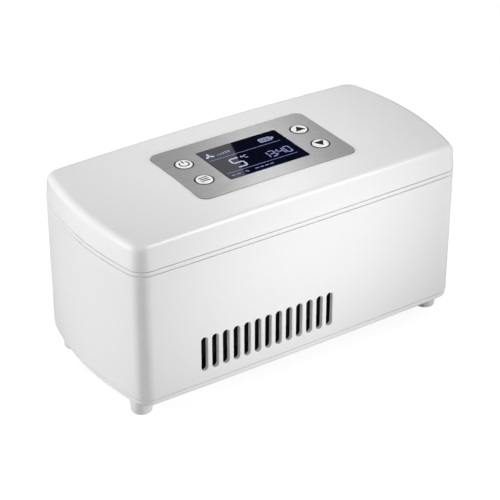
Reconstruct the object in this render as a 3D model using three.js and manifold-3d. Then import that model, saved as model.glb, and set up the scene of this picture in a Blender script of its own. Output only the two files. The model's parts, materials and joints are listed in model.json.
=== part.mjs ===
// Insulin cooling case: a bowed white housing on four feet with a hinged lid. The lid carries a
// control panel with a display and four push buttons. Inside, an aluminium tray hangs in the deck
// and is cooled by a thermoelectric module, a finned heat sink and a fan behind the vent slots.
// Millimetres, +Z up, +X along the long side, -Y towards the vented front.
// The origin lies on the floor under the middle of the case.

import * as THREE from 'three';
import { mergeVertices } from 'three/addons/utils/BufferGeometryUtils.js';
import Module from 'manifold-3d';

const wasm = await Module();
wasm.setup();

// Housing outline and stack
const CASE_L = 205;
const CASE_W = 98.3;
const END_BOW = 6.9;
const SIDE_BOW = 1.1;
const CORNER_R = 9;
const WALL = 2.2;
const RIM_H = 3;
const BODY_H = 71.1;
const BAND_H = 2.2;
const LID_H = 15.8;
const SEAM = 0.4;
const FIT = 0.3;

// Feet and base cover
const FOOT_H = 10;
const FOOT_R = 6.1;
const FOOT_TAPER = 0.6;
const FOOT_ROUND = 1;
const FOOT_INSET_X = 12.5;
const FOOT_INSET_Y = 14.4;
const RIM_INSET = 0.3;
const RIM_ROUND = 1.1;
const LIP_H = 3;
const LIP_T = 1.5;
const POST_R = 4;
const POST_H = 14;
const RIB_T = 2;

// Vent slots, front and rear, and the intake slots below the fan
const VENT_COUNT = 13;
const VENT_START = 41.6;
const VENT_PITCH = 6.3;
const VENT_W = 3.7;
const VENT_H = 20;
const VENT_RISE = 9.9;
const INTAKE_COUNT = 7;
const INTAKE_W = 3.4;

// Deck, tray and insulation
const SKIRT_H = 4;
const SKIRT_T = 1.6;
const TRAY_MARGIN_X = 14.5;
const TRAY_MARGIN_Y = 20.4;
const TRAY_D = 25;
const TRAY_T = 1.2;
const TRAY_R = 8;
const FLANGE_W = 3;
const FLANGE_T = 1;
const FOAM_T = 8;

// Cooling stack
const FAN_HOLE_PITCH = 50;
const FAN_EDGE = 5;
const FAN_RIM_T = 1.5;
const FAN_CORNER_R = 4;
const FAN_T = 10;
const FAN_PEG_R = 1.8;
const FAN_HUB_R = 12.5;
const FAN_WEB_T = 2;
const FAN_ARM_W = 4;
const FAN_BLADES = 7;
const BLADE_T = 1.2;
const BLADE_CAMBER = 0.3;
const BLADE_PITCH = 38;
const BLADE_GAP = 1.3;
const SHAFT_R = 1.2;
const BEARING_T = 2;
const DUCT_T = 1.2;
const FIN_T = 1.6;
const FIN_H = 16;
const SINK_BASE_T = 4;
const SINK_GAP = 3;
const MODULE_L = 40;
const MODULE_T = 3.8;
const CERAMIC_T = 0.8;
const CERAMIC_EDGE = 1;
const BLOCK_L = 62;
const BLOCK_W = 42;
const SENSOR_L = 12;
const SENSOR_W = 5;
const SENSOR_T = 2.4;

// Battery bay and boards
const CELL_R = 9.1;
const CELL_L = 65;
const CELL_PITCH = 19.4;
const CELL_EDGE = 0.5;
const TERMINAL_R = 3;
const TERMINAL_H = 1;
const BAY_GAP = 4;
const CRADLE_T = 1.2;
const SADDLE_H = 8;
const SADDLE_T = 4;
const PCB_T = 1.6;
const BOARD_W = 72;
const CHOKE_R = 6;
const CHOKE_H = 6;
const DRIVER_L = 12;
const DRIVER_W = 8;
const DRIVER_T = 1.8;
const DRIVER_Y = -12;
const CAPACITOR_R = 3;
const CAPACITOR_H = 7;
const CAPACITOR_GAP = 1.2;
const CAPACITOR_Y = -22;
const JACK_W = 9;
const JACK_L = 12;
const JACK_BARREL_R = 3.6;
const JACK_BORE_R = 2.8;
const JACK_PIN_R = 1.05;

// Hinge and magnets
const HINGE_X = 58;
const HINGE_INSET = 0.4;
const HINGE_R = 1.4;
const HINGE_GAP = 0.35;
const KNUCKLE_LID = 10;
const KNUCKLE_CASE = 5;
const PIN_R = 0.65;
const PIN_FIT = 0.1;
const CATCH_X = 60;
const CATCH_INSET = 11;
const MAGNET_R = 3;
const MAGNET_T = 1.6;
const CATCH_T = 1;

// Lid, liner and gasket
const LID_DRAFT = 0.8;
const LID_FILLET = 4;
const LID_T = 2.2;
const CROWN_X = 1.5;
const CROWN_Y = 1.6;
const LINER_RISE = 1.4;
const LINER_T = 2.2;
const PLUG_GAP = 1;
const PLUG_D = 2.6;
const PLUG_T = 1.6;
const GASKET_W = 5;
const LID_SCREW_INSET = 14.5;
const LID_BOSS_R = 3.2;

// Control panel, display and buttons
const PANEL_L = 94.2;
const PANEL_W = 54;
const PANEL_R = 5;
const PANEL_T = 0.8;
const PANEL_DROP = 0.25;
const PAD_T = 1.8;
const PAD_MARGIN = 2;
const LENS_L = 48;
const LENS_W = 33.3;
const LENS_R = 0.8;
const LENS_LEDGE = 2;
const LCD_MARGIN = 2.2;
const LCD_T = 3;
const CONTROL_L = 84;
const CONTROL_W = 48;
const CONTROL_T = 1.2;
const STANDOFF_R = 2;
const STANDOFF_INSET = 3;
const BUTTON_X = 35.4;
const BUTTON_Y = 9.65;
const BUTTON_R = 4.3;
const BUTTON_PROUD = 0.5;
const BUTTON_EDGE = 0.3;
const BUTTON_FLANGE = 1.1;
const BUTTON_FLANGE_T = 0.8;
const BUTTON_LIFT = 0.2;
const BUTTON_TRAVEL = 0.6;
const SWITCH_L = 6;
const PLUNGER_R = 1.6;
const PLUNGER_H = 0.5;

// Screws: shank radius, head radius and head height
const BASE_SCREW = { shank: 1.3, head: 2.6, headH: 1.8, length: 11 };
const CLAMP_SCREW = { shank: 1.2, head: 2.1, headH: 1.6, length: 14 };
const LINER_SCREW = { shank: 1.1, head: 2.2, headH: 1.3, length: 5 };

// Small corner radius of plates and blocks, and how far a cutting tool runs past a face
const EDGE_R = 1;
const OVER = 1;

// Points along each quarter of the outline
const END_STEPS = 2;
const CORNER_STEPS = 5;
const SIDE_STEPS = 2;

// Heights above the floor, from the feet to the top of the lid
const zBase = FOOT_H;
const zFloor = zBase + RIM_H;
const zBody0 = zFloor + SEAM;
const zBody1 = zBody0 + BODY_H;
const zBand0 = zBody1 + SEAM;
const zBand1 = zBand0 + BAND_H;
const zLid0 = zBand1 + SEAM;
const zTop = zLid0 + LID_H;

// Bowed outline: two end arcs, two side arcs and four corner arcs that touch them
const halfL = CASE_L / 2;
const halfW = CASE_W / 2;
const endR = (halfW ** 2 + END_BOW ** 2) / (2 * END_BOW);
const sideR = (halfL ** 2 + SIDE_BOW ** 2) / (2 * SIDE_BOW);
const endCentre = new THREE.Vector2(halfL - endR, 0);
const sideCentre = new THREE.Vector2(0, halfW - sideR);
const cornerCentre = meetOfCircles(endCentre, endR - CORNER_R, sideCentre, sideR - CORNER_R);
const endSweep = Math.atan2(cornerCentre.y, cornerCentre.x - endCentre.x);
const sideSweep = Math.atan2(cornerCentre.x, cornerCentre.y - sideCentre.y);

function meetOfCircles(p, rp, q, rq) {
  const along = q.clone().sub(p);
  const d = along.length();
  const reach = (rp ** 2 - rq ** 2 + d ** 2) / (2 * d);
  const rise = Math.sqrt(rp ** 2 - reach ** 2);
  along.divideScalar(d);
  const across = new THREE.Vector2(along.y, -along.x);
  return p.clone().addScaledVector(along, reach).addScaledVector(across, -rise);
}

// One closed ring of the outline, moved inwards by inset, at a height or on a height function
function ring(inset, height) {
  const quarter = [];
  for (let i = 0; i < END_STEPS; i++) {
    const t = (endSweep * i) / END_STEPS;
    quarter.push([endCentre.x + (endR - inset) * Math.cos(t), (endR - inset) * Math.sin(t)]);
  }
  for (let i = 0; i < CORNER_STEPS; i++) {
    const t = endSweep + ((Math.PI / 2 - sideSweep - endSweep) * i) / CORNER_STEPS;
    const r = CORNER_R - inset;
    quarter.push([cornerCentre.x + r * Math.cos(t), cornerCentre.y + r * Math.sin(t)]);
  }
  for (let i = 0; i < SIDE_STEPS; i++) {
    const t = sideSweep * (1 - i / SIDE_STEPS);
    quarter.push([(sideR - inset) * Math.sin(t), sideCentre.y + (sideR - inset) * Math.cos(t)]);
  }
  const mirrored = quarter.slice(1).reverse().map(([x, y]) => [-x, y]);
  const upper = [...quarter, [0, halfW - inset], ...mirrored];
  const lower = upper.map(([x, y]) => [-x, -y]);
  const lift = typeof height === 'function' ? height : () => height;
  return [...upper, ...lower].map(([x, y]) => new THREE.Vector3(x, y, lift(x, y)));
}

// Rear face of the outline at a distance x from the middle
function rearY(x, inset) {
  return sideCentre.y + Math.sqrt((sideR - inset) ** 2 - x ** 2);
}

// Skin through a stack of rings, closed by a fan at each end
function loft(rings, apex) {
  const count = rings[0].length;
  const middle = (points) => points.reduce((s, p) => s.add(p), new THREE.Vector3()).divideScalar(count);
  const first = middle(rings[0]);
  const last = apex ?? middle(rings[rings.length - 1]);
  const points = [...rings.flat(), first, last];
  const faces = [];
  for (let k = 0; k + 1 < rings.length; k++) {
    for (let i = 0; i < count; i++) {
      const j = (i + 1) % count;
      const a = k * count;
      const b = a + count;
      faces.push(a + i, a + j, b + j, a + i, b + j, b + i);
    }
  }
  const top = (rings.length - 1) * count;
  for (let i = 0; i < count; i++) {
    const j = (i + 1) % count;
    faces.push(points.length - 2, j, i, points.length - 1, top + i, top + j);
  }
  const geometry = new THREE.BufferGeometry().setFromPoints(points);
  geometry.setIndex(faces);
  return solid(geometry);
}

// Closed three.js geometry as a solid that can be joined and cut
function solid(geometry) {
  const bare = geometry.clone();
  bare.deleteAttribute('normal');
  bare.deleteAttribute('uv');
  const merged = mergeVertices(bare, 1e-4);
  const index = merged.index.array;
  const faces = [];
  for (let i = 0; i < index.length; i += 3) {
    const [a, b, c] = [index[i], index[i + 1], index[i + 2]];
    if (a !== b && b !== c && c !== a) faces.push(a, b, c);
  }
  const vertProperties = new Float32Array(merged.attributes.position.array);
  const triVerts = new Uint32Array(faces);
  return new wasm.Manifold(new wasm.Mesh({ numProp: 3, vertProperties, triVerts }));
}

const joined = (pieces) => pieces.reduce((whole, piece) => whole.add(piece));
const cut = (piece, tools) => tools.reduce((left, tool) => left.subtract(tool), piece);

// Rectangular block between two corners
function block(x0, x1, y0, y1, z0, z1) {
  const box = new THREE.BoxGeometry(x1 - x0, y1 - y0, z1 - z0);
  return solid(box.translate((x0 + x1) / 2, (y0 + y1) / 2, (z0 + z1) / 2));
}

// Outline of a rounded rectangle about the origin
function roundedRect(length, width, radius) {
  const x = length / 2;
  const y = width / 2;
  const r = Math.min(radius, x, y);
  const shape = new THREE.Shape();
  shape.absarc(x - r, y - r, r, 0, Math.PI / 2);
  shape.absarc(r - x, y - r, r, Math.PI / 2, Math.PI);
  shape.absarc(r - x, r - y, r, Math.PI, Math.PI * 1.5);
  shape.absarc(x - r, r - y, r, Math.PI * 1.5, Math.PI * 2);
  return shape;
}

// Outline of an upright slot with round ends about the origin
function slotOutline(width, length) {
  const r = width / 2;
  const y = length / 2 - r;
  const shape = new THREE.Shape();
  shape.absarc(0, y, r, 0, Math.PI);
  shape.absarc(0, -y, r, Math.PI, Math.PI * 2);
  return shape;
}

// Flat plate with rounded corners, lying between two heights
function slab(length, width, radius, z0, z1, x = 0, y = 0) {
  const options = { depth: z1 - z0, bevelEnabled: false, curveSegments: radius > 2 ? 2 : 1 };
  const plate = new THREE.ExtrudeGeometry(roundedRect(length, width, radius), options);
  return solid(plate.translate(x, y, z0));
}

// Upright round post
function post(radius, z0, z1, x = 0, y = 0, sides = 10) {
  const cylinder = new THREE.CylinderGeometry(radius, radius, z1 - z0, sides);
  return solid(cylinder.rotateX(Math.PI / 2).translate(x, y, (z0 + z1) / 2));
}

// Round bar along X
function rodX(radius, x0, x1, y, z, sides = 10) {
  const cylinder = new THREE.CylinderGeometry(radius, radius, x1 - x0, sides);
  return solid(cylinder.rotateZ(Math.PI / 2).translate((x0 + x1) / 2, y, z));
}

// Round bar along Y
function rodY(radius, y0, y1, x, z, sides = 14) {
  const cylinder = new THREE.CylinderGeometry(radius, radius, y1 - y0, sides);
  return solid(cylinder.translate(x, (y0 + y1) / 2, z));
}

// Profile of radius and height pairs, from bottom to top, turned about the Z axis
function turned(profile, sides = 16) {
  const points = profile.map(([r, z]) => new THREE.Vector2(r, z));
  return solid(new THREE.LatheGeometry(points, sides).rotateX(Math.PI / 2));
}

// Profile in X and Z, drawn out along Y
function drawnY(shape, y0, y1) {
  const options = { depth: y1 - y0, bevelEnabled: false, curveSegments: 2 };
  return solid(new THREE.ExtrudeGeometry(shape, options).rotateX(Math.PI / 2).translate(0, y1, 0));
}

// The four sign pairs of a symmetric pattern
const corners = [
  { x: -1, y: -1, name: 'front_left' },
  { x: 1, y: -1, name: 'front_right' },
  { x: -1, y: 1, name: 'rear_left' },
  { x: 1, y: 1, name: 'rear_right' },
];
const sides = [
  { x: -1, name: 'left' },
  { x: 1, name: 'right' },
];

const finish = {
  white: { color: 0xf2f2f2, roughness: 0.28, metalness: 0 },
  soft: { color: 0xdedede, roughness: 0.7, metalness: 0 },
  silver: { color: 0xa8aaac, roughness: 0.38, metalness: 0.9 },
  alloy: { color: 0xc8cacc, roughness: 0.35, metalness: 1 },
  black: { color: 0x17181a, roughness: 0.5, metalness: 0.2 },
  glass: { color: 0x0c1020, roughness: 0.08, metalness: 0 },
  board: { color: 0x1d5a36, roughness: 0.55, metalness: 0 },
  steel: { color: 0xb4b6b8, roughness: 0.3, metalness: 1 },
  foam: { color: 0xe9e6dc, roughness: 0.95, metalness: 0 },
  cell: { color: 0x2f7fb8, roughness: 0.4, metalness: 0 },
  ceramic: { color: 0xf4f4ee, roughness: 0.6, metalness: 0 },
};

// Named mesh of a solid with its own material
function piece(name, body, look) {
  const data = body.getMesh();
  const geometry = new THREE.BufferGeometry();
  geometry.setAttribute('position', new THREE.Float32BufferAttribute(data.vertProperties, 3));
  geometry.setIndex([...data.triVerts]);
  geometry.computeVertexNormals();
  const mesh = new THREE.Mesh(geometry, new THREE.MeshStandardMaterial(look));
  mesh.name = name;
  return mesh;
}

// Screw with its head at the bottom and its shank upwards from z = 0
function screw(size) {
  const { shank, head, headH, length } = size;
  const rounded = head * 0.7;
  return turned([[0, -headH], [rounded, -headH], [head, -headH / 2], [head, 0], [shank, 0],
    [shank, length], [0, length]], 8);
}

// Vent slots: one row of round-ended slots through the front and the rear wall
const ventX0 = -halfL + VENT_START;
const ventMid = ventX0 + ((VENT_COUNT - 1) * VENT_PITCH) / 2;
const ventZ = zBase + VENT_RISE + VENT_H / 2;

function ventSlots() {
  const slots = [];
  for (let i = 0; i < VENT_COUNT; i++) {
    const slot = drawnY(slotOutline(VENT_W, VENT_H), -halfW - WALL, halfW + WALL);
    slots.push(slot.translate([ventX0 + i * VENT_PITCH, 0, ventZ]));
  }
  return slots;
}

// Corner posts of the body, above the feet, that take the base screws
const footX = halfL - FOOT_INSET_X;
const footY = halfW - FOOT_INSET_Y;
const postTop = zBody0 + POST_H;

function cornerPost(side, room) {
  const x = side.x * footX;
  const y = side.y * footY;
  const ribX = cornerCentre.x + CORNER_R * Math.SQRT1_2 - footX;
  const ribY = cornerCentre.y + CORNER_R * Math.SQRT1_2 - footY;
  const turn = Math.atan2(side.y * ribY, side.x * ribX);
  const rib = block(0, Math.hypot(ribX, ribY), -RIB_T / 2, RIB_T / 2, zBody0 + LIP_H + FIT, postTop)
    .rotate([0, 0, THREE.MathUtils.radToDeg(turn)])
    .translate([x, y, 0]);
  return joined([post(POST_R, zBody0, postTop, x, y), rib]).intersect(room);
}

// Battery bay between the heat sink and the right end wall
const sinkHalfL = (VENT_COUNT * VENT_PITCH + FIN_T) / 2;
const bayX0 = ventMid + sinkHalfL + BAY_GAP;
const bayX1 = endCentre.x + Math.sqrt((endR - WALL) ** 2 - (BOARD_W / 2) ** 2) - BAY_GAP;
const bayMid = (bayX0 + bayX1) / 2;
const cellCount = Math.floor((bayX1 - bayX0) / CELL_PITCH);
const cradleL = cellCount * CELL_PITCH;
const zCradle = zFloor + FIT;
const zCell = zCradle + CRADLE_T + FIT + CELL_R;
const zBoard = zCell + CELL_R + PCB_T;
const zJack = zBoard + PCB_T + FIT + JACK_W / 2;
const jackX = cornerCentre.x - JACK_W;
const jackY = rearY(jackX + JACK_W / 2, WALL) - FIT;
const jackEnd = rearY(jackX, 0) - FIT;

function bodyShell() {
  const outer = loft([ring(0, zBody0), ring(0, zBody1)]);
  const inner = loft([ring(WALL, zBody0 - OVER), ring(WALL, zBody1 + OVER)]);
  const room = loft([ring(WALL / 2, zBody0), ring(WALL / 2, zBody1)]);
  const posts = corners.map((side) => cornerPost(side, room));
  const holes = corners.map((side) =>
    post(BASE_SCREW.shank + FIT, zBody0 - OVER, zBody0 + BASE_SCREW.length, side.x * footX, side.y * footY));
  const jackHole = rodY(JACK_BARREL_R + FIT, jackY - OVER, halfW + OVER, jackX, zJack);
  const walls = joined([outer.subtract(inner), ...posts]);
  return cut(walls, [...ventSlots(), jackHole, ...holes]);
}

// Base cover: a plate with a rounded edge, a locating lip, fan pegs and intake slots
const fanHole = FAN_HOLE_PITCH / 2;
const fanSize = FAN_HOLE_PITCH + 2 * FAN_EDGE;
const fanBoreR = fanSize / 2 - FAN_RIM_T;
const zFan = zFloor + FIT;
const lipInset = WALL + FIT + LIP_T;

function baseCover() {
  const plate = loft([
    ring(RIM_INSET + RIM_ROUND, zBase),
    ring(RIM_INSET + RIM_ROUND * 0.3, zBase + RIM_ROUND * 0.3),
    ring(RIM_INSET, zBase + RIM_ROUND),
    ring(RIM_INSET, zFloor),
  ]);
  const lipZ = zBody0 + LIP_H;
  const lipOut = loft([ring(WALL + FIT, zFloor - OVER), ring(WALL + FIT, lipZ)]);
  const lipIn = loft([ring(lipInset, zFloor - 2 * OVER), ring(lipInset, lipZ + OVER)]);
  const pegs = corners.map((side) =>
    post(FAN_PEG_R, zFloor - OVER, zFan + FAN_T / 2, ventMid + side.x * fanHole, side.y * fanHole));
  const intake = [];
  for (let i = 0; i < INTAKE_COUNT; i++) {
    const pitch = (2 * fanBoreR) / (INTAKE_COUNT + 1);
    const x = (i - (INTAKE_COUNT - 1) / 2) * pitch;
    const reach = 2 * Math.sqrt(fanBoreR ** 2 - x ** 2) - INTAKE_W;
    intake.push(slab(INTAKE_W, reach, INTAKE_W / 2, zBase - OVER, zFloor + OVER, ventMid + x, 0));
  }
  const posts = corners.map((side) =>
    post(POST_R + FIT, zFloor, lipZ + OVER, side.x * footX, side.y * footY));
  const holes = corners.map((side) =>
    post(BASE_SCREW.shank + FIT, zBase - OVER, zFloor + OVER, side.x * footX, side.y * footY));
  const lip = cut(lipOut.subtract(lipIn), posts);
  return cut(joined([plate, lip, ...pegs]), [...intake, ...holes]);
}

// Rubber foot with a recess over the head of the base screw
function foot() {
  const top = FOOT_H - FIT;
  const recess = BASE_SCREW.head + FIT;
  const recessZ = top - FIT - BASE_SCREW.headH - FIT;
  const low = FOOT_R - FOOT_TAPER;
  return turned([[0, 0], [low - FOOT_ROUND, 0], [low - FOOT_ROUND * 0.3, FOOT_ROUND * 0.3], [low, FOOT_ROUND],
    [FOOT_R, top], [recess, top], [recess, recessZ], [0, recessZ]]);
}

// Hinge axis inside the rear edge of the deck band
const hingeY = rearY(HINGE_X, 0) - HINGE_INSET;
const hingeZ = (zBand0 + zBand1) / 2;
const hingeHalf = KNUCKLE_LID / 2 + FIT + KNUCKLE_CASE;

// Tray sizes, inside, and the deck opening that it hangs in
const trayL = CASE_L - 2 * TRAY_MARGIN_X;
const trayW = CASE_W - 2 * TRAY_MARGIN_Y;
const zTrayIn = zBand1 - TRAY_D;
const zTray = zTrayIn - TRAY_T;
const catchY = -(halfW - CATCH_INSET);

// Rounded slab that follows the tray's inside wall at a distance outwards
function traySlab(out, z0, z1) {
  return slab(trayL + 2 * out, trayW + 2 * out, TRAY_R + out, z0, z1);
}

function deckFrame() {
  const plate = loft([ring(0, zBand0), ring(0, zBand1)]);
  const skirtOut = loft([ring(WALL + FIT, zBand0 - SKIRT_H), ring(WALL + FIT, zBand0 + BAND_H / 2)]);
  const inset = WALL + FIT + SKIRT_T;
  const skirtIn = loft([ring(inset, zBand0 - SKIRT_H - OVER), ring(inset, zBand0)]);
  const opening = traySlab(TRAY_T + FIT, zBand0 - SKIRT_H - OVER, zBand1 + OVER);
  const rebate = traySlab(TRAY_T + FLANGE_W + FIT, zBand1 - FLANGE_T - FIT, zBand1 + OVER);
  const seats = sides.map((side) =>
    post(MAGNET_R + 2 * FIT, zBand1 - CATCH_T - FIT, zBand1 + OVER, side.x * CATCH_X, catchY));
  const pockets = sides.map((side) => {
    const x = side.x * HINGE_X;
    const reach = hingeHalf + HINGE_GAP;
    const back = hingeY - HINGE_R - HINGE_GAP;
    return block(x - reach, x + reach, back, halfW + OVER, zBand0 - OVER / 10, zBand1 + OVER);
  });
  const knuckles = sides.flatMap((side) => [-1, 1].map((end) => {
    const x = side.x * HINGE_X + end * (hingeHalf - KNUCKLE_CASE / 2);
    const x0 = x - KNUCKLE_CASE / 2;
    const x1 = x + KNUCKLE_CASE / 2;
    const web = block(x0, x1, hingeY - HINGE_R - OVER, hingeY, hingeZ - HINGE_R / 2, hingeZ + HINGE_R / 2);
    return rodX(HINGE_R, x0, x1, hingeY, hingeZ).add(web);
  }));
  const bores = sides.map((side) => {
    const x = side.x * HINGE_X;
    return rodX(PIN_R + PIN_FIT, x - hingeHalf - OVER, x + hingeHalf + OVER, hingeY, hingeZ);
  });
  const frame = cut(joined([plate, skirtOut.subtract(skirtIn)]), [opening, rebate, ...seats, ...pockets]);
  return cut(joined([frame, ...knuckles]), bores);
}

function coldTray() {
  const bowl = traySlab(TRAY_T, zTray, zBand1);
  const flange = traySlab(TRAY_T + FLANGE_W, zBand1 - FLANGE_T, zBand1);
  return bowl.add(flange).subtract(traySlab(0, zTrayIn, zBand1 + OVER));
}

// Cooling stack from the fan upwards: fins, base plate, thermoelectric module and cold block
const zFins = zFan + FAN_T + FIT;
const zSink = zFins + FIN_H;
const zModule = zSink + SINK_BASE_T + FIT;
const zBlock = zModule + MODULE_T + FIT;
const zBlockTop = zTray - FIT;
const clampX = 4 * VENT_PITCH;
const sensorX = ventMid + BLOCK_L / 2 + SENSOR_L;
const zSensor = zTray - FIT - SENSOR_T;

function trayInsulation() {
  const inset = WALL + FIT + SKIRT_T + FIT;
  const zFoam = zTray - FOAM_T;
  const foam = loft([ring(inset, zFoam), ring(inset, zBand0 - FIT)]);
  const bowl = traySlab(TRAY_T + FIT, zTray - FIT, zBand1);
  const window = slab(BLOCK_L + 2 * FIT, BLOCK_W + 2 * FIT, EDGE_R, zFoam - OVER, zTray, ventMid, 0);
  const pocket = slab(SENSOR_L + 2 * FIT, SENSOR_W + 2 * FIT, EDGE_R, zSensor - FIT, zTray, sensorX, 0);
  return cut(foam, [bowl, window, pocket]);
}

function coldBlock() {
  const whole = slab(BLOCK_L, BLOCK_W, EDGE_R, zBlock, zBlockTop, ventMid, 0);
  const reach = zSink + CLAMP_SCREW.length + FIT;
  const holes = sides.map((side) =>
    post(CLAMP_SCREW.shank + FIT, zBlock - OVER, reach, ventMid + side.x * clampX, 0));
  return cut(whole, holes);
}

function peltierModule() {
  const plate = (z) => slab(MODULE_L, MODULE_L, EDGE_R / 2, z, z + CERAMIC_T, ventMid, 0);
  const coreL = MODULE_L - 2 * CERAMIC_EDGE;
  const core = slab(coreL, coreL, EDGE_R / 2, zModule, zModule + MODULE_T, ventMid, 0);
  return joined([core, plate(zModule), plate(zModule + MODULE_T - CERAMIC_T)]);
}

// Heat sink: comb profile whose fins stand behind the walls between the vent slots
function heatSink() {
  const comb = new THREE.Shape();
  comb.moveTo(-sinkHalfL, zSink + SINK_BASE_T);
  for (let i = 0; i <= VENT_COUNT; i++) {
    const x = (i - VENT_COUNT / 2) * VENT_PITCH;
    if (i > 0) comb.lineTo(x - FIN_T / 2, zSink);
    comb.lineTo(x - FIN_T / 2, zFins);
    comb.lineTo(x + FIN_T / 2, zFins);
    if (i < VENT_COUNT) comb.lineTo(x + FIN_T / 2, zSink);
  }
  comb.lineTo(sinkHalfL, zSink + SINK_BASE_T);
  const reach = halfW - SIDE_BOW - WALL - SINK_GAP;
  const holes = sides.map((side) =>
    post(CLAMP_SCREW.shank + FIT, zSink - OVER, zModule, side.x * clampX, 0));
  return cut(drawnY(comb, -reach, reach), holes).translate([ventMid, 0, 0]);
}

// Air duct: a floor round the fan and two walls beside the fins lead the warm air to both slot rows
function airDuct() {
  const inside = sinkHalfL + FIT;
  const outside = inside + DUCT_T;
  const reach = rearY(Math.abs(ventMid) + outside, lipInset) - FIT;
  const roof = zSink + SINK_BASE_T;
  const floor = block(ventMid - outside, ventMid + outside, -reach, reach, zFan, zFan + DUCT_T);
  const wallLeft = block(ventMid - outside, ventMid - inside, -reach, reach, zFan, roof);
  const wallRight = block(ventMid + inside, ventMid + outside, -reach, reach, zFan, roof);
  const room = fanSize + 2 * FIT;
  const seat = slab(room, room, FAN_CORNER_R, zFan - OVER, zFan + DUCT_T + OVER, ventMid, 0);
  return joined([floor, wallLeft, wallRight]).subtract(seat);
}

// Fan about its own axis, standing on z = 0
const bearingR = SHAFT_R + FIT;
const cupTop = FAN_T - FIT;
const cupRoof = cupTop - BLADE_T;

function fanFrame() {
  const frame = slab(fanSize, fanSize, FAN_CORNER_R, 0, FAN_T);
  const holes = corners.map((side) =>
    post(FAN_PEG_R + FIT, -OVER, FAN_T + OVER, side.x * fanHole, side.y * fanHole));
  const ringBody = cut(frame, [post(fanBoreR, -OVER, FAN_T + OVER, 0, 0, 20), ...holes]);
  const carrier = post(FAN_HUB_R, 0, FAN_WEB_T, 0, 0, 16);
  const armEnd = fanBoreR + FAN_RIM_T / 3;
  const arms = [0, 90].map((turn) =>
    block(-armEnd, armEnd, -FAN_ARM_W / 2, FAN_ARM_W / 2, 0, FAN_WEB_T).rotate([0, 0, turn]));
  const bearing = post(bearingR + BEARING_T, 0, cupRoof - FIT);
  const bore = post(bearingR, FAN_WEB_T / 2, FAN_T);
  return joined([ringBody, carrier, ...arms, bearing]).subtract(bore);
}

// One twisted blade along +X, from the hub to the tip
function fanBlade() {
  const tip = fanBoreR - BLADE_GAP;
  const section = (radius, chord, pitch) => {
    const slope = THREE.MathUtils.degToRad(pitch);
    const mid = (FAN_WEB_T + FIT + cupTop) / 2;
    const place = ([u, v]) => new THREE.Vector3(
      radius,
      u * Math.cos(slope) - v * Math.sin(slope),
      mid + u * Math.sin(slope) + v * Math.cos(slope),
    );
    const u = chord / 2;
    const v = BLADE_T / 2;
    const arch = BLADE_CAMBER;
    return [[-u, -v], [0, -v - arch], [u, -v], [u, v], [0, v - arch], [-u, v]].map(place);
  };
  const height = cupTop - FAN_WEB_T - 3 * FIT - BLADE_T;
  const rootPitch = BLADE_PITCH;
  const tipPitch = BLADE_PITCH * 0.7;
  const chordFor = (pitch) => height / Math.sin(THREE.MathUtils.degToRad(pitch));
  return loft([
    section(FAN_HUB_R - BLADE_T / 2, chordFor(rootPitch), rootPitch),
    section(tip, chordFor(tipPitch), tipPitch),
  ]);
}

function fanRotor() {
  const inner = FAN_HUB_R - BLADE_T;
  const rimZ = FAN_WEB_T + FIT;
  const cup = turned([[0, FAN_WEB_T], [SHAFT_R, FAN_WEB_T], [SHAFT_R, cupRoof], [inner, cupRoof],
    [inner, rimZ], [FAN_HUB_R, rimZ], [FAN_HUB_R, cupTop], [0, cupTop]]);
  const blades = [];
  for (let i = 0; i < FAN_BLADES; i++) {
    blades.push(fanBlade().rotate([0, 0, (360 * i) / FAN_BLADES]));
  }
  const clear = post(inner, rimZ - OVER, cupRoof, 0, 0, 16);
  return joined([cut(joined(blades), [clear]), cup]);
}

// Battery cradle with saddles below the cells and four posts below the main board
const cellX = (i) => bayMid + (i - (cellCount - 1) / 2) * CELL_PITCH;

function batteryCradle() {
  const floor = slab(cradleL, CELL_L, 2 * EDGE_R, zCradle, zCradle + CRADLE_T, bayMid, 0);
  const saddles = [-1, 1].map((end) => {
    const y = (end * CELL_L) / 4;
    const [x0, x1] = [bayMid - cradleL / 2, bayMid + cradleL / 2];
    return block(x0, x1, y - SADDLE_T / 2, y + SADDLE_T / 2, zCradle, zCradle + SADDLE_H);
  });
  const bed = [];
  for (let i = 0; i < cellCount; i++) bed.push(rodY(CELL_R + FIT, -CELL_L, CELL_L, cellX(i), zCell));
  const legs = corners.map((side) => {
    const x = bayMid + side.x * (cradleL / 2 - POST_R);
    const y = side.y * (CELL_L / 2 + POST_R);
    const leg = post(POST_R / 2, zCradle, zBoard - FIT, x, y);
    return leg.add(slab(POST_R, 4 * POST_R, EDGE_R, zCradle, zCradle + CRADLE_T, x, y - side.y * POST_R));
  });
  return joined([cut(joined([floor, ...saddles]), bed), ...legs]);
}

// Cell along Y with its raised terminal at the front
function batteryCell() {
  const half = CELL_L / 2;
  const top = half - TERMINAL_H;
  const edge = CELL_R - CELL_EDGE;
  return turned([[0, -half], [edge, -half], [CELL_R, CELL_EDGE - half], [CELL_R, top - CELL_EDGE],
    [edge, top], [TERMINAL_R, top], [TERMINAL_R, half], [0, half]]).rotate([90, 0, 0]);
}

function mainBoard() {
  const board = slab(cradleL, BOARD_W, EDGE_R, zBoard, zBoard + PCB_T, bayMid, 0);
  const seat = zBoard + PCB_T / 2;
  const top = zBoard + PCB_T;
  const choke = post(CHOKE_R, seat, top + CHOKE_H, bayMid - cradleL / 4, CELL_R);
  const [x0, x1] = [bayMid - DRIVER_L / 2, bayMid + DRIVER_L / 2];
  const driver = block(x0, x1, DRIVER_Y - DRIVER_W / 2, DRIVER_Y + DRIVER_W / 2, seat, top + DRIVER_T);
  const capacitors = [-1, 1].map((end) => {
    const x = bayMid + cradleL / 4 + end * (CAPACITOR_R + CAPACITOR_GAP / 2);
    return post(CAPACITOR_R, seat, top + CAPACITOR_H, x, CAPACITOR_Y);
  });
  return joined([board, choke, driver, ...capacitors]);
}

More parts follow.
